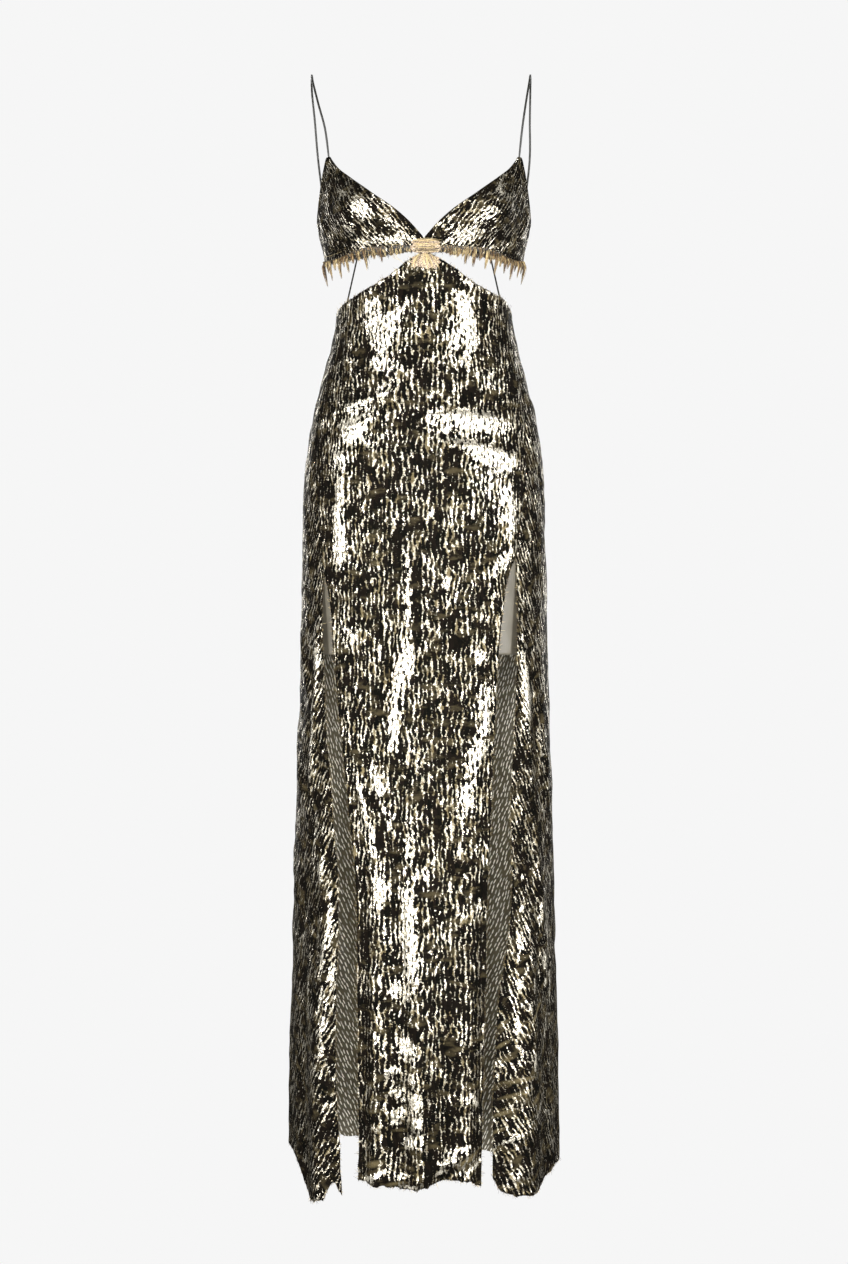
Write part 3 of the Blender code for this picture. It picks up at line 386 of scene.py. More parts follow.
# how far the centre join reaches to either side
JOIN_OUTLINE = Table("height left right", (
    (1.24, 0.012, 0.014), (1.248, 0.015, 0.018), (1.2545, 0.013, 0.016), (1.258, 0.0075, 0.009),
    (1.2605, 0.0075, 0.009), (1.264, 0.0125, 0.0155), (1.272, 0.0135, 0.0165), (1.2775, 0.0095, 0.0125),
    (1.28, 0.006, 0.008),
))
# x, y and height of places on the right strap's route
STRAP_ROUTE = (
    (0.1345, -0.046, 1.44), (0.1395, -0.041, 1.475), (0.145, -0.026, 1.508), (0.148, 0, 1.524),
    (0.149, 0.027, 1.507), (0.149, 0.042, 1.47), (0.1485, 0.0455, 1.41),
)


# ---------------------------------------------------------------- tables to smooth surfaces
def blend(low: Reals, high: Reals, share: Reals) -> np.ndarray:
    """Value a share of the way from low to high."""
    return low + (high - low) * share


def smooth_step(share: Reals) -> np.ndarray:
    """0 to 1 with a soft start and end."""
    share = np.clip(share, 0.0, 1.0)
    return share * share * (3.0 - 2.0 * share)


def bell(distance: np.ndarray, spread: float) -> np.ndarray:
    """1 at no distance, fading to 0 a few spreads away."""
    return np.exp(-((distance / spread) ** 2))


def unit(vectors: np.ndarray) -> np.ndarray:
    """Vectors at length 1."""
    return vectors / np.maximum(np.linalg.norm(vectors, axis=-1, keepdims=True), 1e-12)


def turned_to_front(angle: np.ndarray) -> np.ndarray:
    """Angle from centre front, from -180 to 180."""
    return (angle + 180.0) % 360.0 - 180.0


def leaning(across: np.ndarray, up: np.ndarray, lean: float) -> tuple[np.ndarray, np.ndarray]:
    """Places beside and along an axis that leans from upright."""
    turn = math.radians(lean)
    return across * math.cos(turn) - up * math.sin(turn), across * math.sin(turn) + up * math.cos(turn)


def grid(levels: np.ndarray, places: np.ndarray) -> list[np.ndarray]:
    """Level and place of each point of a sheet: rows go up the cloth and columns round it."""
    return np.meshgrid(levels, places, indexing="ij")


def oval_point(girth: Table, angle: Reals, height: Reals, out: Reals = 0.0) -> np.ndarray:
    """Points on the figure's oval, moved out along its level normal.

    Args:
        girth: table of ovals.
        angle: + towards +X.
        height: above the level of the front hem.
        out: off the oval.

    Returns:
        Points in the gown's frame, with one more axis of length 3.
    """
    angle, height, out = np.broadcast_arrays(angle, height, out)
    side, ahead = np.sin(np.radians(angle)), np.cos(np.radians(angle))
    width = girth.at("half_width", height)
    depth = np.where(ahead > 0.0, girth.at("front", height), girth.at("back", height))
    normal = unit(np.stack([side / width, -ahead / depth, np.zeros_like(width)], axis=-1))
    place = np.stack([width * side, -depth * ahead, height - SHOULDER_HEIGHT], axis=-1)
    return place + normal * out[..., None]


def bodice_point(angle: Reals, height: Reals, out: Reals = 0.0) -> np.ndarray:
    """Points on the bodice: the figure's oval with a cup's dome on each side.

    Args:
        angle: + towards +X.
        height: above the level of the front hem.
        out: off the bodice.

    Returns:
        Points in the gown's frame, with one more axis of length 3.
    """
    angle, height = np.broadcast_arrays(angle, height)
    dome = bell(np.abs(angle) - CUP_DOME_ANGLE, CUP_DOME_SPREAD)
    dome = dome * bell(height - CUP_DOME_HEIGHT, CUP_DOME_REACH)
    return oval_point(BODICE_GIRTH, angle, height, out + CUP_DOME_DEPTH * dome)


def metres_a_degree(girth: Table, height: np.ndarray) -> np.ndarray:
    """Rough distance round the figure for each degree."""
    depth = 0.5 * (girth.at("front", height) + girth.at("back", height))
    return np.radians(0.5 * (girth.at("half_width", height) + depth))


def skirt_top(angle: Reals) -> np.ndarray:
    """Height of the skirt's top edge.

    Args:
        angle: + towards +X.

    Returns:
        Heights above the level of the front hem.
    """
    turned = turned_to_front(angle)
    left, right = (SKIRT_TOP.at(side.word, np.abs(turned)) for side in Side)
    return np.where(turned < 0.0, left, right)


def skirt_height(angle: np.ndarray, level: np.ndarray, hem: Reals) -> np.ndarray:
    """Height on the skirt: level runs from 0 at the hem, past 1 at the slit tops, to 2.

    Args:
        angle: + towards +X.
        level: how far up the skirt.
        hem: height of the hem at each angle.

    Returns:
        Heights above the level of the front hem.
    """
    slit_tops = SLIT_TOP + SLIT_TILT * np.sin(np.radians(angle))
    above = blend(slit_tops, skirt_top(angle), level - 1.0)
    return np.where(level <= 1.0, blend(hem, slit_tops, level), above)


def edge_angle(column: str, level: np.ndarray) -> np.ndarray:
    """Angle of a panel's edge at a level: the slit's own edge below, the seam above."""
    above = blend(SLIT_EDGES.column(column)[-1], SEAM_TOP[column.split("_")[0]], level - 1.0)
    return np.where(level <= 1.0, SLIT_EDGES.at(column, SLIT_TOP * level), above)


def fold_depth(folds: Sequence[Fold], across: np.ndarray, height: np.ndarray) -> np.ndarray:
    """How far a panel's folds move its wall out.

    Args:
        folds: the panel's.
        across: share of the way across it.
        height: above the level of the front hem.

    Returns:
        Depth at each place.
    """
    depth = np.zeros_like(height)
    for fold in folds:
        fall = smooth_step((fold.start - height) / fold.start)
        depth += fold.depth * fall * bell(across - fold.across - fold.drift * (1.0 - fall), fold.spread)
    return depth


def laid_marks(marks: Sequence[Mark], girth: Table, angle: np.ndarray, height: np.ndarray) -> np.ndarray:
    """Sum of the marks' weights at each place.

    Args:
        marks: soft ovals.
        girth: table that turns angles into metres.
        angle: + towards +X.
        height: above the level of the front hem.

    Returns:
        The summed weight, in the marks' own unit.
    """
    degree = metres_a_degree(girth, height)
    total = np.zeros_like(height)
    for mark in marks:
        around = turned_to_front(angle - mark.angle) * degree
        beside, along = leaning(around, height - MM * mark.height, mark.lean)
        total += mark.weight * bell(along, MM * mark.half_length) * bell(beside, MM * mark.half_width)
    return total


@dataclass(frozen=True)
class SoftNoise:
    """Smooth random rumpling on a lattice of cells."""

    cell_across: float
    cell_up: float
    seed: int
    depth: float = 1.0
    lattice: int = 64

    def at(self, across: np.ndarray, up: Reals = 0.0) -> np.ndarray:
        """Values from -depth to depth at places in metres.

        Args:
            across: places along the lattice.
            up: and up it.

        Returns:
            A value for each place.
        """
        table = np.random.default_rng(self.seed).uniform(-1.0, 1.0, (self.lattice, self.lattice))
        u, v = across / self.cell_across, up / self.cell_up + 0.0 * across
        i, j = np.floor(u).astype(int), np.floor(v).astype(int)
        s, t = smooth_step(u - i), smooth_step(v - j)
        i, j, right, above = (part % self.lattice for part in (i, j, i + 1, j + 1))
        return self.depth * blend(blend(table[i, j], table[right, j], s),
                                  blend(table[i, above], table[right, above], s), t)


LARGE_RUMPLE = SoftNoise(0.034, 0.060, 11, 0.0011)
SMALL_RUMPLE = SoftNoise(0.013, 0.024, 12, 0.0006)
CROSS_RIPPLES = SoftNoise(0.036, 0.015, 13, 0.0007)
FLAT_BY_SEAM = 7.0              # degrees either side of centre back that are held flat by the zip


def skirt_relief(angle: np.ndarray, height: np.ndarray) -> np.ndarray:
    """Creases and rumpling of the skirt's cloth, in metres out.

    Args:
        angle: + towards +X.
        height: above the level of the front hem.

    Returns:
        Relief at each place.
    """
    angle = turned_to_front(angle)
    across = angle * metres_a_degree(SKIRT_GIRTH, height)
    rumpled = sum(rumple.at(across, height) for rumple in (LARGE_RUMPLE, SMALL_RUMPLE, CROSS_RIPPLES))
    held = smooth_step((180.0 - np.abs(angle)) / FLAT_BY_SEAM)
    return held * (MM * laid_marks(SKIRT_CREASES, SKIRT_GIRTH, angle, height) + rumpled)


# ---------------------------------------------------------------- meshes
@dataclass
class Patch:
    """Grid of points on a sheet: rows go up the cloth and columns round it towards +X."""

    points: np.ndarray
    grain: np.ndarray
    sparse: np.ndarray

    def normals(self) -> np.ndarray:
        """Outward direction at each point."""
        return unit(np.cross(np.gradient(self.points, axis=1), np.gradient(self.points, axis=0)))


def grain_of(across: np.ndarray, up: np.ndarray, lean: float = 0.0) -> np.ndarray:
    """Cloth coordinates in metres whose second axis follows the grain, leaning from upright."""
    return np.stack(leaning(across, up, lean), axis=-1)


def link_mesh(name: str, points: np.ndarray, faces: list, grain: np.ndarray,
              finishes: Sequence[Finish]) -> Piece:
    """Smooth mesh at the origin.

    Args:
        name: piece's name.
        points: corners, as n x 3.
        faces: corner numbers of each face.
        grain: cloth coordinates at each corner of each face.
        finishes: its materials.

    Returns:
        The object, linked to the scene.
    """
    mesh = bpy.data.meshes.new(name)
    mesh.from_pydata(points.tolist(), [], faces)
    mesh.uv_layers.new(name=GRAIN).data.foreach_set("uv", grain.ravel().astype(np.float32))
    mesh.polygons.foreach_set("use_smooth", np.ones(len(mesh.polygons), dtype=bool))
    for finish in finishes:
        mesh.materials.append(finish)
    made = bpy.data.objects.new(name, mesh)
    bpy.context.scene.collection.objects.link(made)
    return made


def set_attribute(piece: Piece, name: str, values: np.ndarray) -> None:
    """Give each point of a mesh a number that its material reads."""
    attribute = piece.data.attributes.new(name, "FLOAT", "POINT")
    attribute.data.foreach_set("value", values.ravel().astype(np.float32))


def add_sheet(name: str, patch: Patch, wall: float, finishes: Sequence[Finish]) -> Piece:
    """Cloth shell whose outer face is the patch.

    Args:
        name: piece's name.
        patch: outer face.
        wall: thickness, laid inwards.
        finishes: outer and wrong side, or one for both.

    Returns:
        The finished object, at the origin.
    """
    rows, columns = patch.points.shape[:2]
    corner = np.arange(rows * columns).reshape(rows, columns)
    faces = np.stack([corner[:-1, :-1], corner[:-1, 1:], corner[1:, 1:], corner[1:, :-1]], axis=-1)
    faces = faces.reshape(-1, 4)
    grain = patch.grain.reshape(-1, 2)[faces.ravel()]
    sheet = link_mesh(name, patch.points.reshape(-1, 3), faces.tolist(), grain, finishes)
    set_attribute(sheet, PAINTED_LIGHT, patch.sparse)
    shell = sheet.modifiers.new("wall", "SOLIDIFY")
    shell.thickness = wall
    shell.offset = -1.0
    shell.material_offset = len(finishes) - 1
    bpy.ops.object.select_all(action="DESELECT")
    sheet.select_set(True)
    bpy.context.view_layer.objects.active = sheet
    bpy.ops.object.modifier_apply(modifier=shell.name)
    return sheet


def add_tubes(name: str, paths: Sequence[np.ndarray], finish: Finish, radius: float, sides: int,
              tints: Sequence[float], taper: Taper = EVEN) -> Piece:
    """Many round threads or cords with the same number of points, as one mesh.

    Args:
        name: piece's name.
        paths: points of each, as threads x points x 3.
        finish: material.
        radius: of the thickest part.
        sides: corners of the round.
        tints: 0 dark to 1 gold, one for each thread.
        taper: share of the radius at shares of the way along.

    Returns:
        The joined object, at the origin.
    """
    paths = np.array(paths)
    count, length = paths.shape[:2]
    radii = radius * np.interp(np.linspace(0.0, 1.0, length), *zip(*taper))
    along = unit(np.gradient(paths, axis=1))
    level = np.eye(3)[np.abs(along).max(axis=1).argmin(axis=1)][:, None]
    first = unit(np.cross(along, level))
    second = np.cross(along, first)
    turns = 2.0 * math.pi * np.arange(sides) / sides
    ring = np.cos(turns)[:, None] * first[:, :, None] + np.sin(turns)[:, None] * second[:, :, None]
    points = (paths[:, :, None] + ring * radii[None, :, None, None]).reshape(-1, 3)
    index = np.arange(count * length * sides).reshape(count, length, sides)
    after = np.roll(index, -1, axis=2)
    walls = np.stack([index[:, :-1], after[:, :-1], after[:, 1:], index[:, 1:]], axis=-1).reshape(-1, 4)
    caps = np.concatenate([index[:, 0, ::-1], index[:, -1]])

    steps = np.linalg.norm(np.diff(paths, axis=1), axis=-1)
    distance = np.concatenate([np.zeros((count, 1)), np.cumsum(steps, axis=1)], axis=1)
    share = np.arange(sides) / sides
    corner_u = np.stack([share, share + 1.0 / sides, share + 1.0 / sides, share], axis=-1)
    low, high = distance[:, :-1], distance[:, 1:]
    corner_v = np.stack([low, low, high, high], axis=-1)
    wall_grain = np.stack(np.broadcast_arrays(corner_u[None, None], corner_v[:, :, None]), axis=-1)
    grain = np.concatenate([wall_grain.reshape(-1, 2), np.zeros((caps.size, 2))])
    tubes = link_mesh(name, points, walls.tolist() + caps.tolist(), grain, [finish])
    set_attribute(tubes, TINT, np.repeat(tints, length * sides))
    return tubes


def smooth_route(places: np.ndarray, count: int) -> np.ndarray:
    """Evenly stepped points on a Catmull-Rom curve through the places.

    Args:
        places: n x 3.
        count: steps.

    Returns:
        count + 1 points.
    """
    ends = np.vstack([2 * places[0] - places[1], places, 2 * places[-1] - places[-2]])
    spans = len(places) - 1
    along = spans * np.arange(count + 1) / count
    i = np.minimum(along.astype(int), spans - 1)
    t = (along - i)[:, None]
    p0, p1, p2, p3 = (ends[i + k] for k in range(4))
    return 0.5 * (2 * p1 + (p2 - p0) * t + (2 * p0 - 5 * p1 + 4 * p2 - p3) * t * t
                  + (3 * p1 - p0 - 3 * p2 + p3) * t ** 3)


def dress(piece: Piece, nodes: Sequence[str] = ()) -> Piece:
    """Tell the frame what a finished piece is.

    Args:
        piece: finished object.
        nodes: solids that it stands for.

    Returns:
        The same piece.
    """
    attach(piece, GOWN_BODY)
    if nodes:
        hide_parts(*nodes)
    LOG.info("%s: %d faces", piece.name, len(piece.data.polygons))
    return piece


# ---------------------------------------------------------------- finishes
def linear(colour: str) -> tuple[float, float, float, float]:
    """Linear colour from an sRGB hex value such as "#E9E2CF"."""
    channels = [int(colour[i:i + 2], 16) / 255.0 for i in (1, 3, 5)]
    return (*[c / 12.92 if c <= 0.04045 else ((c + 0.055) / 1.055) ** 2.4 for c in channels], 1.0)


def set_inputs(tree: bpy.types.NodeTree, node: bpy.types.Node, inputs: dict) -> None:
    """Set a node's inputs, by name or number, as values or as links from other sockets.

    Args:
        tree: the node's tree.
        node: the node.
        inputs: value or source socket for each input.
    """
    for name, value in inputs.items():
        if isinstance(value, Socket):
            tree.links.new(value, node.inputs[name])
        else:
            node.inputs[name].default_value = value


def add_node(tree: bpy.types.NodeTree, kind: str, inputs: dict | None = None,
             **settings: object) -> bpy.types.Node:
    """Add a node.

    Args:
        tree: node tree that it goes into.
        kind: the node's type, after the word ShaderNode.
        inputs: value or source socket for each input, by name or number.
        settings: properties of the node.

    Returns:
        The new node.
    """
    node = tree.nodes.new(f"ShaderNode{kind}")
    for name, value in settings.items():
        setattr(node, name, value)
    set_inputs(tree, node, inputs or {})
    return node


class Recipe:
    """One material in the making: each method adds a node and gives the socket that others read."""

    def __init__(self, name: str) -> None:
        """Start from the Principled shader.

        Args:
            name: the material's.
        """
        self.material = bpy.data.materials.new(name)
        self.material.use_nodes = True
        self.tree = self.material.node_tree

    @cached_property
    def mm(self) -> Socket:
        """Place on the cloth in millimetres."""
        return self.vector("MULTIPLY", self.add("UVMap", uv_map=GRAIN), (1.0 / MM, 1.0 / MM, 0.0))

    def add(self, kind: str, inputs: dict | None = None, out: int | str = 0, **settings: object) -> Socket:
        """Any node, by its output."""
        return add_node(self.tree, kind, inputs, **settings).outputs[out]

    def math(self, operation: str, *values: Socket | float) -> Socket:
        """Arithmetic on numbers."""
        return self.add("Math", dict(enumerate(values)), operation=operation)

    def vector(self, operation: str, *values: Socket | tuple[float, ...]) -> Socket:
        """Arithmetic on vectors."""
        return self.add("VectorMath", dict(enumerate(values)), operation=operation)

    def over(self, base: Socket | float, value: Socket, gain: float) -> Socket:
        """Base with a share of a value on top."""
        return self.math("MULTIPLY_ADD", value, gain, base)

    def split(self, vector: Socket) -> tuple[Socket, Socket]:
        """First two parts of a vector."""
        parts = add_node(self.tree, "SeparateXYZ", {0: vector}).outputs
        return parts[0], parts[1]

    def ramp(self, value: Socket, start: float, end: float, low: float = 0.0, high: float = 1.0,
             **settings: object) -> Socket:
        """Low up to the start, high from the end on, and straight between them."""
        return self.add("MapRange", {0: value, 1: start, 2: end, 3: low, 4: high}, **settings)

    def mix(self, share: Socket, first: Socket | str, second: Socket | str) -> Socket:
        """Mixture of two colours, given as sockets or hex values."""
        first, second = (linear(colour) if isinstance(colour, str) else colour for colour in (first, second))
        return self.add("Mix", {0: share, 6: first, 7: second}, 2, data_type="RGBA")

    def attribute(self, name: str) -> Socket:
        """Number that the mesh's points carry."""
        return self.add("Attribute", out="Fac", attribute_name=name)

    def clouds(self, across: float, along: float, detail: float = 2.0) -> Socket:
        """Cloudy pattern whose clouds have a size in millimetres across and along the grain."""
        place = self.add("Mapping", {"Vector": self.mm, "Scale": (1.0 / across, 1.0 / along, 1.0)})
        return self.add("TexNoise", {"Vector": place, "Scale": 1.0, "Detail": detail}, noise_dimensions="2D")

    def finish(self, inputs: dict, relief: Socket | None = None, strength: float = 1.0,
               depth: float = 1.0) -> Finish:
        """Set the shader's own inputs.

        Args:
            inputs: value or source of each, by name.
            relief: heights that its bump reads.
            strength: of the bump.
            depth: of the bump, in millimetres.

        Returns:
            The finished material.
        """
        if relief is not None:
            bump = self.add("Bump", {"Strength": strength, "Distance": MM * depth, "Height": relief})
            inputs = {**inputs, "Normal": bump}
        set_inputs(self.tree, self.tree.nodes["Principled BSDF"], inputs)
        return self.material


@dataclass(frozen=True)
class DropPrint:
    """Staggered rows of long drops along the cloth's grain."""

    step_across: float = 5.8        # mm from drop to drop across the grain
    step_along: float = 11.6        # mm along it
    scatter: float = 0.50           # how far drops stray from their rows
    drift: float = 5.0              # mm that rows wander
    drift_scale: float = 26.0       # mm

    def distance(self, work: Recipe, half_width: float, half_length: float) -> tuple[Socket, Socket]:
        """Distance from a drop's middle, 1 at its edge.

        Args:
            work: material that it goes into.
            half_width: of a drop, as a share of the step across.
            half_length: of a drop, as a share of the step along.

        Returns:
            The distance, and each drop's own random colour.
        """
        wander = work.add("TexNoise", {"Vector": work.mm, "Scale": 1.0 / self.drift_scale, "Detail": 2.0}, 1,
                          noise_dimensions="2D")
        centred = work.vector("SUBTRACT", wander, (0.5, 0.5, 0.0))
        moved = work.vector("MULTIPLY_ADD", centred, (2.0 * self.drift, 2.0 * self.drift, 0.0), work.mm)
        steps = work.vector("MULTIPLY", moved, (1.0 / self.step_across, 1.0 / self.step_along, 0.0))
        across, along = work.split(steps)
        # each column is half a step above the last, so that the drops interlock
        place = work.add("CombineXYZ", {0: across, 1: work.over(along, across, 0.5)})
        drops = add_node(work.tree, "TexVoronoi", {"Vector": place, "Scale": 1.0, "Randomness": self.scatter},
                         voronoi_dimensions="2D", feature="F1").outputs
        across, along = work.split(work.vector("SUBTRACT", place, drops["Position"]))
        oval = work.add("CombineXYZ", {0: across, 1: work.over(along, across, -0.5)})
        scaled = work.vector("MULTIPLY", oval, (1.0 / half_width, 1.0 / half_length, 0.0))
        return work.add("VectorMath", {0: scaled}, "Value", operation="LENGTH"), drops["Color"]


@dataclass(frozen=True)
class FoilSilk:
    """Face of the cloth: silk printed with pale metal foil, broken into dark drops.

    The foil mirrors the softboxes in shining slivers, and the drops between stay nearly black. Round the
    drops its slivers are also painted dull or pale by turns, as painted shade and painted glints, and listed
    patches get painted highlights of pale foil and painted khaki shade.
    """

    name: str = "foil_printed_silk"
    foil: str = "#F6EFDC"
    foil_dull: str = "#6A6047"
    drop: str = "#080806"
    drop_brown: str = "#14100C"
    drop_rubbed: str = "#5E543C"
    crackle: str = "#54472F"
    pattern: DropPrint = field(default_factory=DropPrint)

    def make(self) -> Finish:
        """Build the material.

        Returns:
            The finished material.
        """
        work = Recipe(self.name)
        edge, own = self.pattern.distance(work, 0.41, 0.72)
        chance = add_node(work.tree, "SeparateColor", {0: own}).outputs
        # patches of painted highlight are broken up at their edges, and a few islands of drops stay inside
        # them
        laid = work.attribute(PAINTED_LIGHT)
        broken = work.over(laid, work.clouds(14.0, 22.0, 3.0), 1.1)
        sparse = work.ramp(work.over(broken, work.clouds(4.2, 7.5, 4.0), 1.6), 1.66, 2.34)
        # drops shrink on the patches of painted highlight and where the print is worn, and their edges are
        # ragged
        growth = work.ramp(work.clouds(22.0, 30.0, 3.0), 0.3, 0.7, 0.46, 1.18, clamp=False)
        ragged = work.over(-0.85, work.clouds(1.7, 2.6, 4.0), 1.7)
        reach = work.math("MULTIPLY_ADD", edge, work.over(growth, sparse, 1.9), ragged)
        bare = work.ramp(reach, 0.88, 1.04, interpolation_type="SMOOTHSTEP")

        # foil lies whole and pale on the patches of painted highlight, and round the drops its slivers are
        # painted dull or pale by turns, as painted shade and painted glints
        turns = work.over(work.clouds(5.0, 14.0, 3.0), chance[1], 0.42)
        painted_glint = work.ramp(work.over(turns, sparse, 0.60), 0.54, 0.94)
        cracks = work.ramp(work.clouds(2.0, 2.8, 4.0), 0.51, 0.59, 0.0, 0.85)
        metal = work.mix(cracks, work.mix(painted_glint, self.foil_dull, self.foil), self.crackle)
        # drops turn khaki in random soft bands, and as painted shade where the painted-light attribute falls
        # below 0
        rubbed = work.ramp(work.clouds(24.0, 12.0, 4.0), 0.55, 0.75, 0.0, 0.45)
        rubbed = work.math("MAXIMUM", rubbed, work.ramp(laid, -0.25, -0.75, 0.0, 0.85))
        dark = work.mix(rubbed, work.mix(chance[0], self.drop, self.drop_brown), self.drop_rubbed)

        # the whole foil of the patches of painted highlight is milky, so that the painted highlight stays
        # pale from every side
        metallic = work.math("MULTIPLY", bare, work.ramp(sparse, 0.0, 1.0, 0.92, 0.62))
        gloss = work.ramp(painted_glint, 0.0, 1.0, 0.42, 0.27)
        rough = work.add("Mix", {0: bare, 2: 0.62, 3: gloss}, data_type="FLOAT")

        # drops are puffed up between the foil lines, and the foil itself is finely crinkled
        puffed = work.ramp(edge, 0.1, 1.3, 0.50, 0.0, interpolation_type="SMOOTHSTEP")
        ripple = work.over(puffed, work.clouds(30.0, 8.0), 1.6)
        height = work.over(ripple, work.clouds(2.0, 7.0, 4.0), 0.9)
        return work.finish({"Base Color": work.mix(bare, dark, metal), "Metallic": metallic,
                            "Roughness": rough, "Specular IOR Level": 0.015}, height)


@dataclass(frozen=True)
class SilkWrongSide:
    """Wrong side of the foil cloth: dull khaki silk, where each foil line shows as a short pale dash."""

    name: str = "silk_wrong_side"
    silk: str = "#645C45"
    silk_deep: str = "#463F2D"
    dash: str = "#FFFAEA"
    pattern: DropPrint = field(default_factory=lambda: DropPrint(4.7, 9.2, 0.55, 2.5, 30.0))

    def make(self) -> Finish:
        """Build the material.

        Returns:
            The finished material.
        """
        work = Recipe(self.name)
        edge, own = self.pattern.distance(work, 0.16, 0.42)
        fade = work.ramp(work.add("SeparateColor", {0: own}, 1), 0.05, 0.35, 0.35, 1.0)
        shown = work.math("MULTIPLY", work.ramp(edge, 1.15, 0.8), fade)
        silk = work.mix(work.clouds(18.0, 18.0, 4.0), self.silk_deep, self.silk)
        return work.finish({"Base Color": work.mix(shown, silk, self.dash), "Roughness": 0.45,
                            "Sheen Weight": 0.25, "Sheen Roughness": 0.4},
                           work.over(shown, work.clouds(0.9, 0.9), 0.25), 0.6, 0.3)


@dataclass(frozen=True)
class LiningSatin:
    """Acetate satin: smooth and taupe, with a soft glow along its fine warp."""

    name: str = "taupe_lining_satin"
    satin: str = "#625D50"
    shaded: str = "#524D42"
    warp: float = 0.7               # mm between warp lines, drawn coarser than real so that it shows

    def make(self) -> Finish:
        """Build the material.

        Returns:
            The finished material.
        """
        work = Recipe(self.name)
        warp = work.clouds(self.warp, 24.0, 3.0)
        # the satin and its shaded copy are mixed in soft random patches and along the warp: painted shade and
        # a painted sheen
        share = work.ramp(work.over(work.clouds(35.0, 35.0), warp, 0.35), 0.45, 0.9)
        return work.finish({"Base Color": work.mix(share, self.shaded, self.satin), "Roughness": 0.38,
                            "Sheen Weight": 0.3, "Sheen Roughness": 0.35}, warp, 0.35, 0.2)


@dataclass(frozen=True)
class RouleauSatin:
    """Bias tube of dark olive satin: a soft sheen, and the twist of its seam."""

    name: str = "bias_rouleau_satin"
    light: str = "#1F1E18"
    deep: str = "#0F0F0B"
    twist: float = 9.0              # mm along the cord for one turn of its seam

    def make(self) -> Finish:
        """Build the material.

        Returns:
            The finished material.
        """
        work = Recipe(self.name)
        around, along = work.split(work.add("UVMap", uv_map=GRAIN))
        turned = work.over(around, along, 1.0 / MM / self.twist)
        wave = work.math("SINE", work.math("MULTIPLY", turned, math.tau))
        return work.finish({"Base Color": work.mix(work.ramp(wave, -1.0, 0.4), self.deep, self.light),
                            "Roughness": 0.42, "Sheen Weight": 0.12}, wave, 0.5, 0.2)


@dataclass(frozen=True)
class MetallicThread:
    """Loose yarns of the cloth: gold lurex among dark and rose-brown silk, by each thread's tint."""

    name: str = "lurex_and_silk_thread"
    gold: str = "#E0CC98"
    brown: str = "#805E34"
    dark: str = "#16110C"

    def make(self) -> Finish:
        """Build the material.

        Returns:
            The finished material.
        """
        work = Recipe(self.name)
        tint = work.attribute(TINT)
        high = work.ramp(tint, 0.5, 0.85)
        earth = work.mix(work.ramp(tint, 0.1, 0.5), self.dark, self.brown)
        metallic = work.math("MULTIPLY", high, 0.4)
        return work.finish({"Base Color": work.mix(high, earth, self.gold), "Metallic": metallic,
                            "Roughness": 0.38}, work.clouds(300.0, 1.1), 0.4, 0.1)


@dataclass(frozen=True)
class FrayedSilk:
    """Backing under the loose threads: gold and brown silk with its weave pulled open."""

    name: str = "frayed_gold_silk"
    gold: str = "#D4BE8E"
    rose: str = "#7C5C34"
    dark: str = "#12100B"
    opened: tuple[float, float] = (0.56, 0.68)  # where the tangle turns from dark to gold
    tangle: tuple[float, float] = (1.3, 4.2)    # mm across and along the threads

    def make(self) -> Finish:
        """Build the material.

        Returns:
            The finished material.
        """
        work = Recipe(self.name)
        tangled = work.clouds(*self.tangle, 3.0)
        gold = work.mix(work.clouds(9.0, 9.0), self.rose, self.gold)
        # where the painted-light attribute is set the cloth turns dark: the painted shade beside the knot's
        # tie
        share = work.ramp(work.math("SUBTRACT", tangled, work.attribute(PAINTED_LIGHT)), *self.opened)
        metallic = work.math("MULTIPLY", share, 0.35)
        return work.finish({"Base Color": work.mix(share, self.dark, gold), "Metallic": metallic,
                            "Roughness": 0.45}, tangled, 1.0, 0.5)


@dataclass(frozen=True)
class TapeTwill:
    """Zip tape: dull brown-black polyester twill with a fine slanting rib."""

    name: str = "polyester_twill_tape"
    light: str = "#4A4437"
    deep: str = "#2A261E"
    rib: float = 1.1                # mm, drawn coarser than real so that it shows

    def make(self) -> Finish:
        """Build the material.

        Returns:
            The finished material.
        """
        work = Recipe(self.name)
        wave = {"Vector": work.mm, "Scale": 1.0 / self.rib / math.tau, "Distortion": 0.4}
        ribs = work.add("TexWave", wave, "Fac", bands_direction="DIAGONAL")
        colour = work.mix(ribs, self.deep, self.light)
        return work.finish({"Base Color": colour, "Roughness": 0.75}, ribs, 0.5, 0.2)


@dataclass(frozen=True)
class LacqueredZinc:
    """Die-cast zinc under a dark bronze lacquer: a dull metal, rubbed paler in places by the hand."""

    name: str = "lacquered_zinc"
    lacquer: str = "#6E6450"
    rubbed: str = "#A8997A"
    grit: float = 0.6               # mm

    def make(self) -> Finish:
        """Build the material.

        Returns:
            The finished material.
        """
        work = Recipe(self.name)
        place = work.add("TexCoord", out="Object")
        wear = work.add("TexNoise", {"Vector": place, "Scale": 250.0 / self.grit, "Detail": 4.0})
        share = work.ramp(wear, 0.48, 0.66)
        return work.finish({"Base Color": work.mix(share, self.lacquer, self.rubbed), "Metallic": 0.9,
                            "Roughness": work.ramp(share, 0.0, 1.0, 0.30, 0.42)}, wear, 0.2, 0.1)


class Finishes:
    """Every material of the gown, made once."""

    def __init__(self) -> None:
        """Build them all."""
        self.foil = FoilSilk().make()
        self.wrong_side = SilkWrongSide().make()
        self.satin = LiningSatin().make()
        self.rouleau = RouleauSatin().make()
        self.thread = MetallicThread().make()
        self.frayed = FrayedSilk().make()
        self.knotted = FrayedSilk("knotted_gold_silk", "#EADBC0", "#B9977C", "#3C3022",
                                  (0.42, 0.54), (0.9, 1.7)).make()
        self.tape = TapeTwill().make()
        self.zinc = LacqueredZinc().make()


# ---------------------------------------------------------------- loose threads of cut edges
class Rim(NamedTuple):
    """Points along an edge of the cloth, and the way out of the cloth at each."""

    points: np.ndarray
    outward: np.ndarray


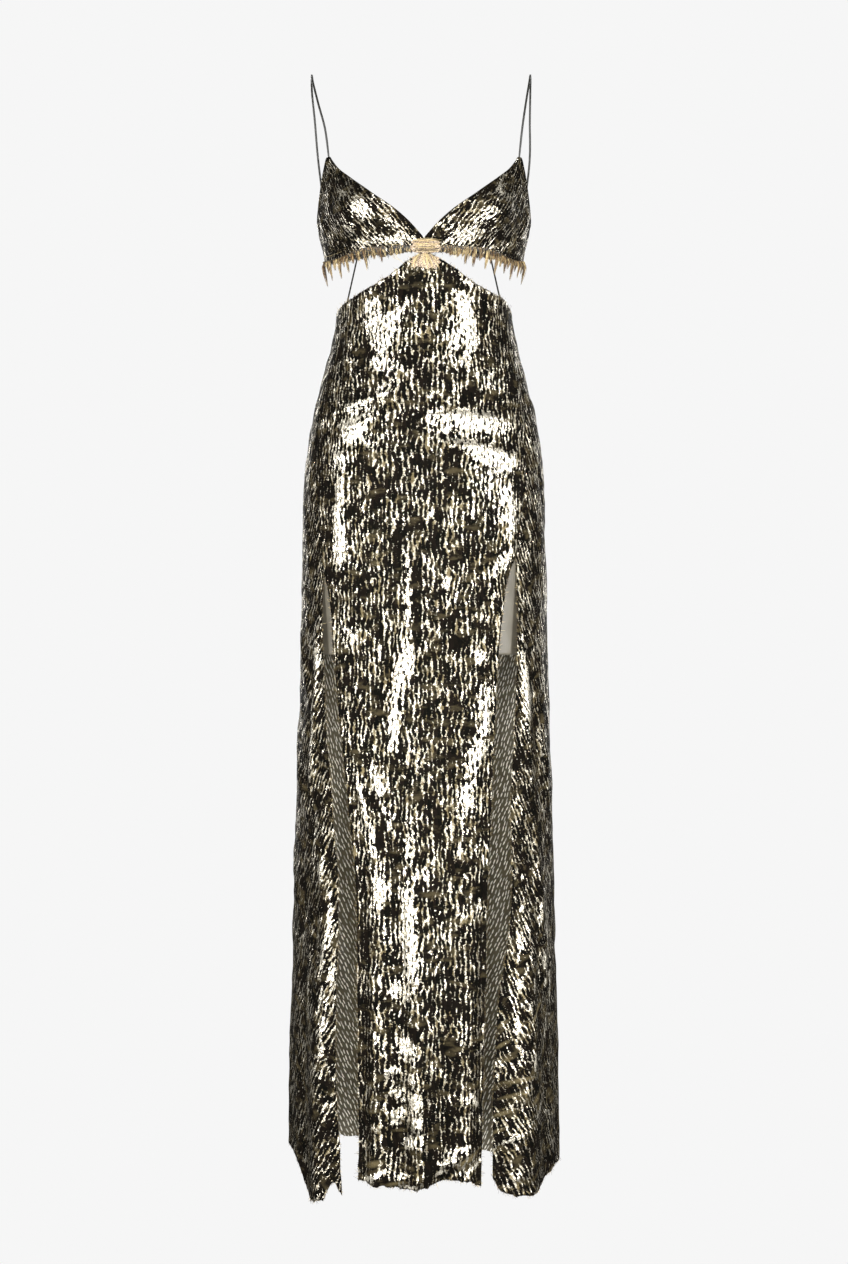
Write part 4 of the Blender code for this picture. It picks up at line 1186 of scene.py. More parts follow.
def rim_of(patch: Patch, wall: float, where: str, rows: slice = slice(None)) -> Rim:
    """Middle of a sheet's edge and the way out of it.

    Args:
        patch: outer face of the sheet.
        wall: its thickness.
        where: bottom, top, left or right, as its grid lies.
        rows: part of a left or right edge.

    Returns:
        The rim.
    """
    middle = patch.points - patch.normals() * 0.5 * wall
    edge, inside = {"bottom": (middle[0], middle[2]), "top": (middle[-1], middle[-3]),
                    "left": (middle[rows, 0], middle[rows, 2]),
                    "right": (middle[rows, -1], middle[rows, -3])}[where]
    return Rim(edge, unit(edge - inside))


@dataclass
class RawEdge:
    """Short threads that stand out of a cut edge of the cloth."""

    finish: Finish
    step: float = 0.0016            # along the edge
    shortest: float = 0.0012
    longest: float = 0.0050
    radius: float = 0.00022
    gold_share: float = 0.45
    points: int = 4

    def paths(self, rim: Rim, dice: np.random.Generator) -> np.ndarray:
        """Points of each thread along one edge, as threads x points x 3.

        Args:
            rim: the edge.
            dice: random numbers.

        Returns:
            The points.
        """
        distance = np.concatenate([[0.0], np.cumsum(np.linalg.norm(np.diff(rim.points, axis=0), axis=1))])
        count = max(2, int(distance[-1] / self.step))
        at = np.sort(dice.uniform(0.0, distance[-1], count))
        root, away = (np.stack([np.interp(at, distance, axis) for axis in part.T], axis=1) for part in rim)
        length = self.shortest + (self.longest - self.shortest) * dice.uniform(0.0, 1.0, count) ** 2.2
        stray = dice.normal(0.0, 0.35, (count, 3))
        curl = dice.normal(0.0, 0.25, (count, 3))
        share = np.linspace(-0.25, 1.0, self.points)[None, :, None]
        reach = length[:, None, None] * share
        away = unit(unit(away) + stray)
        return root[:, None] + reach * away[:, None] + reach * np.abs(share) * curl[:, None]

    def grow(self, name: str, rims: Sequence[Rim], seed: int) -> Piece:
        """Fray several edges into one piece.

        Args:
            name: piece's name.
            rims: the edges.
            seed: for its random numbers.

        Returns:
            The threads, as one object.
        """
        dice = np.random.default_rng(seed)
        paths = np.concatenate([self.paths(rim, dice) for rim in rims])
        count = len(paths)
        gold = dice.uniform(0.0, 1.0, count) < self.gold_share
        tints = np.where(gold, dice.uniform(0.55, 1.0, count), dice.uniform(0.0, 0.4, count))
        return add_tubes(name, paths, self.finish, self.radius, 3, tints, ((0.0, 1.15), (1.0, 0.5)))


# ---------------------------------------------------------------- bodice
@dataclass
class Cups:
    """Two triangular cups, each with its wing round the side."""

    finishes: Finishes
    wall: float = 0.0011
    columns_per_span: int = 9
    rows: int = 44
    grain_lean: float = 34.0        # degrees that the print leans from upright on the right cup
    crowded: float = 1.3            # the print is drawn closer together on the cups
    rumple: SoftNoise = SoftNoise(0.013, 0.024, 12, 0.0004)
    flat_rim: float = 0.006         # creases fade out this close to the edges
    rolled: float = 0.0008          # the turned edges stand this much higher
    roll_width: float = 0.0022
    flat: tuple[float, float] = (0.406, 0.145)
    cut_area: float = 0.0223

    def patch(self, side: Side) -> Patch:
        """Outer face of one cup.

        Args:
            side: the cup's.

        Returns:
            Its grid.
        """
        angles = side.value * CUP_EDGES.column("angle")[::side.value]
        spans = len(angles) - 1
        places = np.linspace(0.0, spans, spans * self.columns_per_span + 1)
        level, place = grid(np.linspace(0.0, 1.0, self.rows), places)
        angle = np.interp(place, np.arange(spans + 1), angles)
        away = np.abs(angle)
        bottom, top = (CUP_EDGES.at(column, away) for column in ("bottom", "top"))
        height = blend(bottom, top, level)
        across = angle * metres_a_degree(BODICE_GIRTH, height)
        edge = np.minimum(height - bottom, top - height)
        relief = MM * laid_marks(CUP_CREASES, BODICE_GIRTH, away, height) + self.rumple.at(across, height)
        turned = self.rolled * bell(edge - 0.4 * self.roll_width, self.roll_width)
        relief = relief * smooth_step(edge / self.flat_rim) + turned
        # painted highlights on the cups, from their table
        sparse = np.clip(laid_marks(CUP_PAINTED_LIGHT, BODICE_GIRTH, angle, height), 0.0, 1.0)
        grain = self.crowded * grain_of(across, height, side.value * self.grain_lean)
        return Patch(bodice_point(angle, height, relief), grain, sparse)

    def build(self) -> None:
        """Both cups."""
        for side in Side:
            cup = add_sheet(f"cup_{side.word}_cloth", self.patch(side), self.wall,
                            [self.finishes.foil, self.finishes.wrong_side])
            dress(cup, [f"cup_{side.word}"])


@dataclass
class FrayedBand:
    """Band under each cup whose weave is pulled out into threads and pointed tassels."""

    finishes: Finishes
    start: float = 6.5              # degrees from centre front
    end: float = 93.0
    above_near: float = 0.0080      # band's top above the cup's lower edge, near its start
    above_far: float = 0.0012       # and from the side of the cup on
    narrows: float = 34.0           # degrees where it starts to narrow, and over which it does
    below: float = 0.0070           # band's lower edge below the cup's
    bitten: float = 0.75            # share of that which the deepest bites take
    begins: float = 0.35            # share of the full depth at its start
    widens: float = 18.0            # degrees over which it reaches the full depth
    lift: float = 0.0007            # off the cup's face
    wall: float = 0.0008
    columns: int = 150
    rows: int = 12
    radius_round: float = 0.14      # of the figure here
    loose_threads: int = 330
    loose_width: float = 0.0008
    loose_gather: float = 0.4       # share of their spread that is drawn in at the tip
    threads_in_tassel: int = 46
    tassel_gather: float = 0.92
    gold_share: float = 0.30        # of a tassel's threads
    thread_radius: float = 0.00028
    thread_points: int = 9
    least_fall: float = 0.002
    strayed: float = 0.2            # degrees that a root strays from its clump
    ragged_tip: float = 0.0008
    wave: float = 0.0005            # sideways
    bow: float = 0.0012             # outwards

    def above(self, angle: Reals) -> np.ndarray:
        """How far the band reaches up over the cup at an angle."""
        share = smooth_step((np.abs(angle) - self.narrows) / self.narrows)
        return blend(self.above_near, self.above_far, share)

    def deepened(self, angle: Reals) -> np.ndarray:
        """Share of its full depth at an angle."""
        return blend(self.begins, 1.0, smooth_step((angle - self.start) / self.widens))

    def on_band(self, side: Side, angle: np.ndarray, drop: np.ndarray, out: Reals) -> np.ndarray:
        """Points at a drop below the cup's lower edge."""
        return bodice_point(side.value * angle, CUP_EDGES.at("bottom", angle) - drop, out)

    def band(self, side: Side) -> None:
        """The strip itself, ragged along its lower edge.

        Args:
            side: the cup's.
        """
        level, angle = grid(np.linspace(0.0, 1.0, self.rows),
                            np.linspace(self.start, self.end, self.columns)[::side.value])
        across = np.radians(angle) * self.radius_round
        ragged = 1.0 - np.abs(SoftNoise(0.0024, 1.0, 31 + side.value, self.bitten).at(across))
        drop = blend(self.below * ragged * self.deepened(angle), -self.above(angle), level)
        lift = self.lift * smooth_step(level * 3.0) + SoftNoise(0.004, 0.004, 33, 0.0004).at(across, drop)
        patch = Patch(self.on_band(side, angle, drop, lift), grain_of(side.value * across, -drop),
                      np.zeros_like(level))
        band = add_sheet(f"underbust_band_{side.word}", patch, self.wall, [self.finishes.frayed])
        dress(band)

    def hung(self, side: Side, dice: np.random.Generator, angle: float, tip: float, gather: float,
             width: float) -> np.ndarray:
        """A thread that starts on the band and ends at a drop below it, drawn in to a point.

        Args:
            side: the cup's.
            dice: random numbers.
            angle: where its clump hangs.
            tip: drop of its end.
            gather: how far the clump is drawn in at its tip, to 1.
            width: half the clump's width.

        Returns:
            Its points.
        """
        share = np.linspace(0.0, 1.0, self.thread_points)
        drawn_in = 1.0 - share ** 1.5 * gather
        root = angle + dice.normal(0.0, self.strayed)
        top = dice.uniform(-0.8, 0.3) * self.above(root)
        drop = blend(top, max(tip, top + self.least_fall), share)
        spread = width * dice.uniform(-1.0, 1.0) * drawn_in
        spread = spread + gather * dice.normal(0.0, self.ragged_tip) * share ** 2
        spread = spread + self.wave * np.sin(share * dice.uniform(3.0, 9.0))
        out = self.lift + dice.uniform(0.0002, 0.0011)
        out = out + self.bow * np.sin(share * math.pi) * dice.uniform(0.0, 1.0)
        full = 0.9 * width * dice.uniform(0.0, 1.0) * math.sin(math.radians(angle))
        out = out + full * drawn_in * smooth_step(3.0 * share)
        return self.on_band(side, root + np.degrees(spread / self.radius_round), drop, out)

    def threads(self, side: Side) -> Piece:
        """Loose threads over the band and the tassels that hang from it.

        Args:
            side: the cup's.

        Returns:
            The threads, as one object.
        """
        dice = np.random.default_rng(40 + side.value)
        clumps = SoftNoise(0.0021, 1.0, 44 + side.value)
        paths, tints = [], []
        for tassel in TASSELS[side]:
            for _ in range(self.threads_in_tassel):
                gold = dice.uniform(0.0, 1.0) < self.gold_share
                tints.append(dice.uniform(0.6, 0.95) if gold else dice.uniform(0.05, 0.52))
                tip = MM * tassel.length * dice.uniform(0.55, 1.0)
                width = 0.66 * MM * tassel.width
                paths.append(self.hung(side, dice, tassel.angle, tip, self.tassel_gather, width))
        for _ in range(self.loose_threads):
            angle = dice.uniform(self.start, self.end)
            clump = float(clumps.at(np.array(math.radians(angle) * self.radius_round)))
            tints.append(min(max(0.22 + 1.10 * clump + dice.normal(0.0, 0.20), 0.0), 1.0))
            reach = self.below * float(self.deepened(angle))
            tip = reach * dice.uniform(0.1, 1.35) + 0.005 * dice.uniform(0.0, 1.0) ** 6
            paths.append(self.hung(side, dice, angle, tip, self.loose_gather, self.loose_width))
        share = np.linspace(0.0, 1.0, self.thread_points)
        for strand in STRANDS if side is Side.LEFT else ():
            angle = blend(strand.start, strand.end, share)
            drop = blend(strand.start_drop, strand.end_drop, share) + strand.sag * np.sin(share * math.pi)
            paths.append(self.on_band(side, angle, MM * drop, 3.4 * self.lift))
            tints.append(0.95)
        return add_tubes(f"fringe_{side.word}_threads", paths, self.finishes.thread, self.thread_radius, 3,
                         tints, ((0.0, 0.8), (0.55, 1.0), (1.0, 0.3)))

    def build(self) -> None:
        """Band and threads on both sides."""
        for side in Side:
            self.band(side)
            dress(self.threads(side), [f"fringe_{side.word}"])


@dataclass
class CentreJoin:
    """Gathered gold tab at centre front: a knot over the cups' corners, a narrow neck and a frayed foot."""

    finishes: Finishes
    wall: float = 0.0010
    lift: float = 0.0016
    knot: float = 1.2705            # height of the knot's fullest part
    foot: float = 1.2490            # and of the foot's
    middle: float = 0.001           # both sit this far to +X
    neck: float = 1.2592            # height of its narrow neck
    tie: float = 1.2606             # and of the thread that ties it
    radius_round: float = 0.098
    columns: int = 48
    rows: int = 70
    wraps: int = 96
    wrap_points: int = 8
    gold_share: float = 0.66
    wound: tuple[float, float] = (1.2635, 1.2790)   # heights of the threads over the knot
    fan_top: float = 1.2610                         # height where those below the neck start
    fanned: tuple[float, float] = (1.2385, 1.2500)  # and where they end
    thread_radius: float = 0.00020
    slack: float = 0.0022           # how far its frayed foot and sides stray from the outline
    cups_from: float = 1.255        # height where the tab starts to pass from the skirt to the cups
    cups_over: float = 0.015        # and the height that it takes
    frays_from: float = 1.246       # height where its foot starts to fray
    frays_over: float = 0.006
    knot_depth: float = 0.0036      # how far the knot stands up
    knot_width: float = 0.0140
    foot_depth: float = 0.0014      # and the foot
    foot_width: float = 0.0150
    swell_height: float = 0.0080    # of both
    neck_half: float = 0.004        # half the neck's width, and how soon the pleats rise out of it
    opens: float = 1.1              # the pleats' fan widens by this for each step away from the neck
    pleat_depth: float = 0.0006
    pleat_turns: float = 11.0       # radians of wave from the middle to the fan's side
    slot_height: float = 0.0009     # of the painted shade in a narrow band on either side of the tie
    tie_half: float = 0.0016
    wound_left: tuple[float, float] = (-0.0135, -0.004)     # where the wound threads start
    wound_right: tuple[float, float] = (0.005, 0.016)       # and where they end
    fan_reach: tuple[float, float] = (-0.015, 0.018)        # where the fanned ones end

    def face(self, across: np.ndarray, height: np.ndarray, out: np.ndarray) -> np.ndarray:
        """Points over the cups' corners above and the skirt's peak below.

        Args:
            across: to +X.
            height: above the level of the front hem.
            out: off the cloth below.

        Returns:
            Points in the gown's frame.
        """
        angle = np.degrees(across / self.radius_round)
        on_skirt, on_cups = oval_point(SKIRT_GIRTH, angle, height, out), bodice_point(angle, height, out)
        return blend(on_skirt, on_cups, smooth_step((height - self.cups_from) / self.cups_over)[..., None])

    def puff(self, across: np.ndarray, height: np.ndarray) -> np.ndarray:
        """How far the gathered cloth stands up, with pleats that run into the neck.

        Args:
            across: to +X.
            height: above the level of the front hem.

        Returns:
            Distance off the cloth below.
        """
        beside, away = across - self.middle, np.abs(height - self.neck)
        knot = self.knot_depth * bell(height - self.knot, self.swell_height) * bell(beside, self.knot_width)
        foot = self.foot_depth * bell(height - self.foot, self.swell_height) * bell(beside, self.foot_width)
        fan = across / (self.neck_half + self.opens * away)
        pleats = self.pleat_depth * np.sin(self.pleat_turns * fan) * smooth_step(away / self.neck_half)
        return self.lift + knot + foot + pleats

    def tab(self) -> None:
        """The gathered cloth."""
        ends = JOIN_OUTLINE.column("height")[[0, -1]]
        height, share = grid(np.linspace(*ends, self.rows), np.linspace(0.0, 1.0, self.columns))
        across = blend(-JOIN_OUTLINE.at("left", height), JOIN_OUTLINE.at("right", height), share)
        uneven = SoftNoise(0.0022, 0.0018, 52)
        foot = smooth_step((self.frays_from - height) / self.frays_over)
        across = across + self.slack * (2.0 * share - 1.0) * (uneven.at(0.0 * height, height) - 0.5)
        height = height + self.slack * foot * (uneven.at(across) + 0.9)
        # painted shade in the neck, on either side of the thread that ties it, carried in the painted-light
        # attribute
        painted_slot_shade = 0.5 * bell(height - self.tie, self.slot_height) * (np.abs(across) > self.tie_half)
        points = self.face(across, height, self.puff(across, height))
        patch = Patch(points, grain_of(across, height, 70.0), painted_slot_shade)
        tab = add_sheet("join_knot", patch, self.wall, [self.finishes.knotted])
        dress(tab, ["front_join"])

    def threads(self) -> Piece:
        """Threads wound over the knot, and others fanned out below its neck.

        Returns:
            The threads, as one object.
        """
        dice = np.random.default_rng(51)
        along = np.linspace(0.0, 1.0, self.wrap_points)
        paths, tints = [], []
        for k in range(self.wraps):
            if k % 2:
                places = blend(dice.uniform(*self.wound_left), dice.uniform(*self.wound_right), along)
                rise = dice.uniform(*self.wound) + dice.normal(0.0, 0.0012) * np.sin(along * math.pi)
            else:
                foot = dice.uniform(*self.fan_reach)
                places = blend(foot * 0.35, foot, along ** 0.8)
                rise = blend(self.fan_top, dice.uniform(*self.fanned), along)
            paths.append(self.face(places, rise, self.puff(places, rise) + dice.uniform(0.0, 0.0007)))
            gold = dice.uniform(0.0, 1.0) < self.gold_share
            tints.append(dice.uniform(0.7, 1.0) if gold else dice.uniform(0.0, 0.4))
        return add_tubes("join_threads", paths, self.finishes.thread, self.thread_radius, 4, tints,
                         ((0.0, 0.5), (0.2, 1.0), (0.8, 1.0), (1.0, 0.4)))

    def build(self) -> None:
        """The tab and its threads."""
        self.tab()
        dress(self.threads())


@dataclass
class Cords:
    """Shoulder straps, the cord across the back and the two down to the skirt's corners."""

    finish: Finish
    strap_radius: float = 0.00150
    thin_radius: float = 0.00115
    tip_angle: float = 62.0         # where a strap is sewn to the cup's tip
    seat_angle: float = 112.0       # and to the wing
    left_shift: float = 0.0080      # the left strap sits this much further out on the shoulder
    shift_from: float = 1.42        # height where it starts to
    sunk: float = 0.0030            # a cord's end runs on into the edge that it is sewn to
    sag: float = 0.004
    sides: int = 14
    inside: float = -0.0009         # middle of the cups' wall
    inside_skirt: float = -0.00075  # and of the skirt's

    def cord(self, node: str, route: np.ndarray, radius: float, taper: Taper = EVEN) -> None:
        """One round cord along a route."""
        made = add_tubes(f"{node}_rouleau", [route], self.finish, radius, self.sides, [0.0], taper)
        dress(made, [node])

    def strap(self, side: Side) -> None:
        """One strap from the cup's tip over the shoulder to the wing.

        Args:
            side: the shoulder's.
        """
        front, back = (bodice_point(side.value * angle, CUP_EDGES.at("top", angle), self.inside)
                       for angle in (self.tip_angle, self.seat_angle))
        shift = self.left_shift if side is Side.LEFT else 0.0
        middle = [(side.value * (x + shift * float(smooth_step((height - self.shift_from) / 0.09))), y,
                   height - SHOULDER_HEIGHT) for x, y, height in STRAP_ROUTE]
        down = np.array([0.0, 0.0, -self.sunk])
        route = smooth_route(np.vstack([front + down, front, middle, back, back + down]), 110)
        self.cord(f"strap_{side.word}", route, self.strap_radius,
                  ((0.0, 0.55), (0.05, 0.62), (0.16, 1.0), (0.97, 1.0), (1.0, 0.85)))

    def build(self) -> None:
        """All five cords."""
        for side in Side:
            self.strap(side)
        wing_angle, wing_bottom, wing_top = CUP_EDGES.rows[-1]
        share = np.linspace(0.0, 1.0, 46)
        angle = blend(wing_angle - 1.0, 361.0 - wing_angle, share)
        height = 0.5 * (wing_bottom + wing_top) - self.sag * np.sin(math.pi * share)
        self.cord("back_cord", oval_point(BODICE_GIRTH, angle, height, self.inside), self.thin_radius)
        corner = skirt_top(SKIRT_CORNER_ANGLE) - 0.5 * self.sunk
        for side in Side:
            start = bodice_point(side.value * (wing_angle - 1.0), wing_bottom + 0.001, self.inside)
            end = oval_point(SKIRT_GIRTH, side.value * SKIRT_CORNER_ANGLE, corner, self.inside_skirt)
            route = start + (end - start) * np.linspace(0.0, 1.0, 24)[:, None]
            self.cord(f"waist_cord_{side.word}", route, self.thin_radius)


# ---------------------------------------------------------------- skirt
@dataclass(frozen=True)
class PanelCut:
    """How one skirt panel is cut and hangs."""

    node: str
    hem: Table
    folds: Sequence[Fold]
    lean: float                     # degrees that its grain leans from upright
    slits: dict[str, float]         # edges of its grid that hang free, and their places across it
    flat: tuple[float, float]
    area: float
    seed: int


FRONT_CUT = PanelCut("skirt_front", FRONT_HEM, FRONT_FOLDS, 0.0, {"left": 0.0, "right": 1.0},
                     (0.340, 1.260), 0.291, 61)
SIDE_CUTS = {
    Side.LEFT: PanelCut("skirt_side_back_left", SIDE_BACK_HEM, LEFT_FOLDS, 26.0, {"right": 0.0},
                        (0.500, 1.220), 0.399, 62),
    Side.RIGHT: PanelCut("skirt_side_back_right", SIDE_BACK_HEM, RIGHT_FOLDS, -26.0, {"left": 0.0},
                         (0.490, 1.215), 0.418, 63),
}


@dataclass
class Skirt:
    """Centre front panel between the slits, and the two side-back panels."""

    finishes: Finishes
    wall: float = 0.0008
    rows_below: int = 210
    rows_above: int = 96
    front_columns: int = 96
    side_columns: int = 132
    crowding: float = 1.25          # columns lie closer together towards the slit
    ragged: float = 0.0016          # depth of bites in the raw hem
    hem_fade: float = 0.006         # how far up from the hem the bites reach
    top_fade: float = 0.004         # and down from the top edge, where they are half as deep
    edge_roll: float = 0.0012       # raw slit edges curl out
    roll_width: float = 0.018       # over this share of the panel
    top_roll: float = 0.0007        # the top edge stands this much higher

    def levels(self) -> np.ndarray:
        """Rows up the skirt, closer together at the hem, with one through the slit tops."""
        below = np.linspace(0.0, 1.0, self.rows_below) ** 1.06
        return np.concatenate([below, 1.0 + np.linspace(0.0, 1.0, self.rows_above)[1:]])

    def surface(self, cut: PanelCut, angle: np.ndarray, level: np.ndarray, across: np.ndarray) -> Patch:
        """Outer face of a panel.

        Args:
            cut: the panel's facts.
            angle: from centre front at each point.
            level: 0 at the hem to 2 at the top edge.
            across: share of the way across the panel.

        Returns:
            The panel's grid.
        """
        hem = cut.hem.at("height", angle)
        height = skirt_height(angle, level, hem)
        around = angle * metres_a_degree(SKIRT_GIRTH, height)
        bite = SoftNoise(0.0045, 1.0, 21).at(around) + SoftNoise(0.0017, 1.0, 22, 0.6).at(around)
        below_top = skirt_top(angle) - height
        free = smooth_step((SLIT_TOP - 0.02 - height) / 0.05)
        curl = sum(bell(across - place, self.roll_width) for place in cut.slits.values())
        out = fold_depth(cut.folds, across, height) + skirt_relief(angle, height)
        out = out + self.edge_roll * free * curl + self.top_roll * bell(below_top - 0.002, 0.0022)
        faded = np.exp((hem - height) / self.hem_fade) + 0.5 * np.exp(-below_top / self.top_fade)
        height = height + self.ragged * bite * faded
        # the bites along the top edge are drawn as pale foil, through the painted-light attribute
        gaps = 0.8 * bell(below_top, 0.006) * (bite > 0.1)
        # painted highlights and painted khaki shade, from their table
        sparse = np.clip(laid_marks(SKIRT_PAINTED_LIGHT, SKIRT_GIRTH, angle, height) + gaps, -1.0, 1.0)
        return Patch(oval_point(SKIRT_GIRTH, angle, height, out), grain_of(around, height, cut.lean), sparse)

    def front(self) -> None:
        """Centre front panel."""
        level, across = grid(self.levels(), np.linspace(0.0, 1.0, self.front_columns))
        left = -edge_angle("left_front", level) + SEAM_HALF_ANGLE
        right = edge_angle("right_front", level) - SEAM_HALF_ANGLE
        self.panel(FRONT_CUT, blend(left, right, across), level, across)

    def side_back(self, side: Side) -> None:
        """One side-back panel, with its columns towards +X.

        Args:
            side: the panel's.
        """
        crowded = np.linspace(0.0, 1.0, self.side_columns) ** self.crowding
        level, across = grid(self.levels(), crowded[::side.value])
        front = edge_angle(f"{side.word}_side", level) + SEAM_HALF_ANGLE
        self.panel(SIDE_CUTS[side], side.value * blend(front, 180.0 - SEAM_HALF_ANGLE, across), level, across)

    def panel(self, cut: PanelCut, angle: np.ndarray, level: np.ndarray, across: np.ndarray) -> None:
        """One panel as a sheet, with its frayed edges.

        Args:
            cut: the panel's facts.
            angle: from centre front at each point.
            level: 0 at the hem to 2 at the top edge.
            across: share of the way across the panel.
        """
        patch = self.surface(cut, angle, level, across)
        rims = [rim_of(patch, self.wall, where) for where in ("bottom", "top")]
        rims += [rim_of(patch, self.wall, where, slice(0, self.rows_below)) for where in cut.slits]
        sheet = add_sheet(f"{cut.node}_cloth", patch, self.wall,
                          [self.finishes.foil, self.finishes.wrong_side])
        dress(sheet, [cut.node])
        threads = RawEdge(self.finishes.thread).grow(f"{cut.node}_raw_edge", rims, cut.seed)
        dress(threads)

    def build(self) -> None:
        """The three panels."""
        self.front()
        for side in Side:
            self.side_back(side)


@dataclass
class Lining:
    """Short satin lining in two pieces, inside the skirt."""

    finish: Finish
    wall: float = 0.0005
    columns: int = 120
    rows_above: int = 110
    rows_below: int = 34
    slack: float = 0.0016           # soft waves at its free hem
    radius_round: float = 0.15

    def patch(self, start: float, end: float) -> Patch:
        """Outer face of one piece.

        Args:
            start: angle where it begins.
            end: and where it ends.

        Returns:
            Its grid.
        """
        above = 1.0 + np.linspace(0.0, 1.0 - LINING_BELOW_EDGE, self.rows_above)[1:]
        levels = np.concatenate([np.linspace(0.0, 1.0, self.rows_below), above])
        level, angle = grid(levels, np.linspace(start, end, self.columns))
        height = skirt_height(angle, level, LINING_HEM)
        across = np.radians(angle) * self.radius_round
        hang = smooth_step((SLIT_TOP - height) / (SLIT_TOP - LINING_HEM))
        over_zip = LINING_OVER_ZIP * bell(np.abs(angle - 180.0), 16.0)
        pressed = np.minimum(skirt_relief(angle, height), 0.0)
        waves = self.slack * hang * np.minimum(SoftNoise(0.018, 0.090, 71).at(across, height), 0.0)
        out = -(LINING_INSET + LINING_EASE * hang + over_zip) + pressed + waves
        points = oval_point(SKIRT_GIRTH, angle, height, out)
        return Patch(points, grain_of(across, height), np.zeros_like(angle))

    def build(self) -> None:
        """Front and back pieces."""
        for name, start, end, flat, area in (("lining_front", -90.0, 90.0, (0.460, 0.540), 0.205),
                                             ("lining_back", 90.0, 270.0, (0.470, 0.490), 0.192)):
            patch = self.patch(start + SEAM_HALF_ANGLE, end - SEAM_HALF_ANGLE)
            sheet = dress(add_sheet(f"{name}_satin", patch, self.wall, [self.finish]), [name])


@dataclass
class Zip:
    """Concealed zip at centre back: tapes inside the seam, their coils, the slider and its pull tab."""

    finishes: Finishes
    nodes: dict
    low: float = 0.900
    high: float = 1.1270
    tape_half_width: float = 0.012
    tape_inset: float = 0.0019
    radius_round: float = 0.13
    wall: float = 0.0006
    rows: int = 90
    columns: int = 22
    coil_end: float = 0.004         # coils stop this far below the tapes' top
    coil_pitch: float = 0.0013
    coil_reach: float = 0.0012
    coil_inset: float = 0.0027
    coil_swing: float = 0.00015
    coil_radius: float = 0.00022

    def tape(self) -> None:
        """Both tapes as one strip."""
        half = math.degrees(self.tape_half_width / self.radius_round)
        height, angle = grid(np.linspace(self.low, self.high, self.rows),
                             np.linspace(180.0 - half, 180.0 + half, self.columns))
        pressed = np.minimum(skirt_relief(angle, height), 0.0)
        patch = Patch(oval_point(SKIRT_GIRTH, angle, height, pressed - self.tape_inset),
                      grain_of(np.radians(angle - 180.0) * self.radius_round, height), np.zeros_like(angle))
        tape = add_sheet("zip_tape_twill", patch, self.wall, [self.finishes.tape])
        dress(tape, ["zip_tape"])

    def coils(self) -> None:
        """The two interlocked nylon coils, one loop for each tooth."""
        count = int((self.high - self.coil_end - self.low) / self.coil_pitch)
        turn = np.linspace(0.0, math.tau, 9)
        side, k = (part.reshape(-1, 1) for part in grid(np.array([-1.0, 1.0]), np.arange(count)))
        across = side * self.coil_reach * (0.55 - 0.75 * np.cos(turn))
        height = self.low + self.coil_pitch * (k + 0.25 * side + 0.5 * turn / math.tau)
        paths = oval_point(SKIRT_GIRTH, 180.0 + np.degrees(across / self.radius_round), height,
                           -self.coil_inset - self.coil_swing * np.sin(turn))
        tints = np.full(len(paths), 0.2)
        dress(add_tubes("zip_coils", paths, self.finishes.tape, self.coil_radius, 4, tints))

    def build(self) -> None:
        """Tape, coils and metal."""
        self.tape()
        self.coils()
        for name in ("zip_slider", "zip_pull"):
            self.nodes[name].data.materials.clear()
            self.nodes[name].data.materials.append(self.finishes.zinc)
            LOG.info("%s: kept, in lacquered zinc", name)


# ---------------------------------------------------------------- studio
@dataclass
class Softbox:
    """Soft rectangular light that faces a point on the gown."""

    name: str
    azimuth: float                  # degrees round from the camera's side, + towards +X
    distance: float
    height: float                   # above the front hem
    width: float
    tall: float
    watts: float
    aim: float = 0.75               # height that it faces

    def place(self) -> None:
        """Add the light."""
        turn = math.radians(self.azimuth)
        spot = Vector((self.distance * math.sin(turn), -self.distance * math.cos(turn),
                       self.height - SHOULDER_HEIGHT))
        bpy.ops.object.light_add(type="AREA", location=spot)
        lamp = bpy.context.object
        lamp.name = self.name
        lamp.data.shape = "RECTANGLE"
        lamp.data.size = self.width
        lamp.data.size_y = self.tall
        lamp.data.energy = self.watts
        ahead = Vector((0.0, 0.0, self.aim - SHOULDER_HEIGHT)) - spot
        lamp.rotation_euler = ahead.to_track_quat("-Z", "Y").to_euler()
        lamp.visible_camera = False


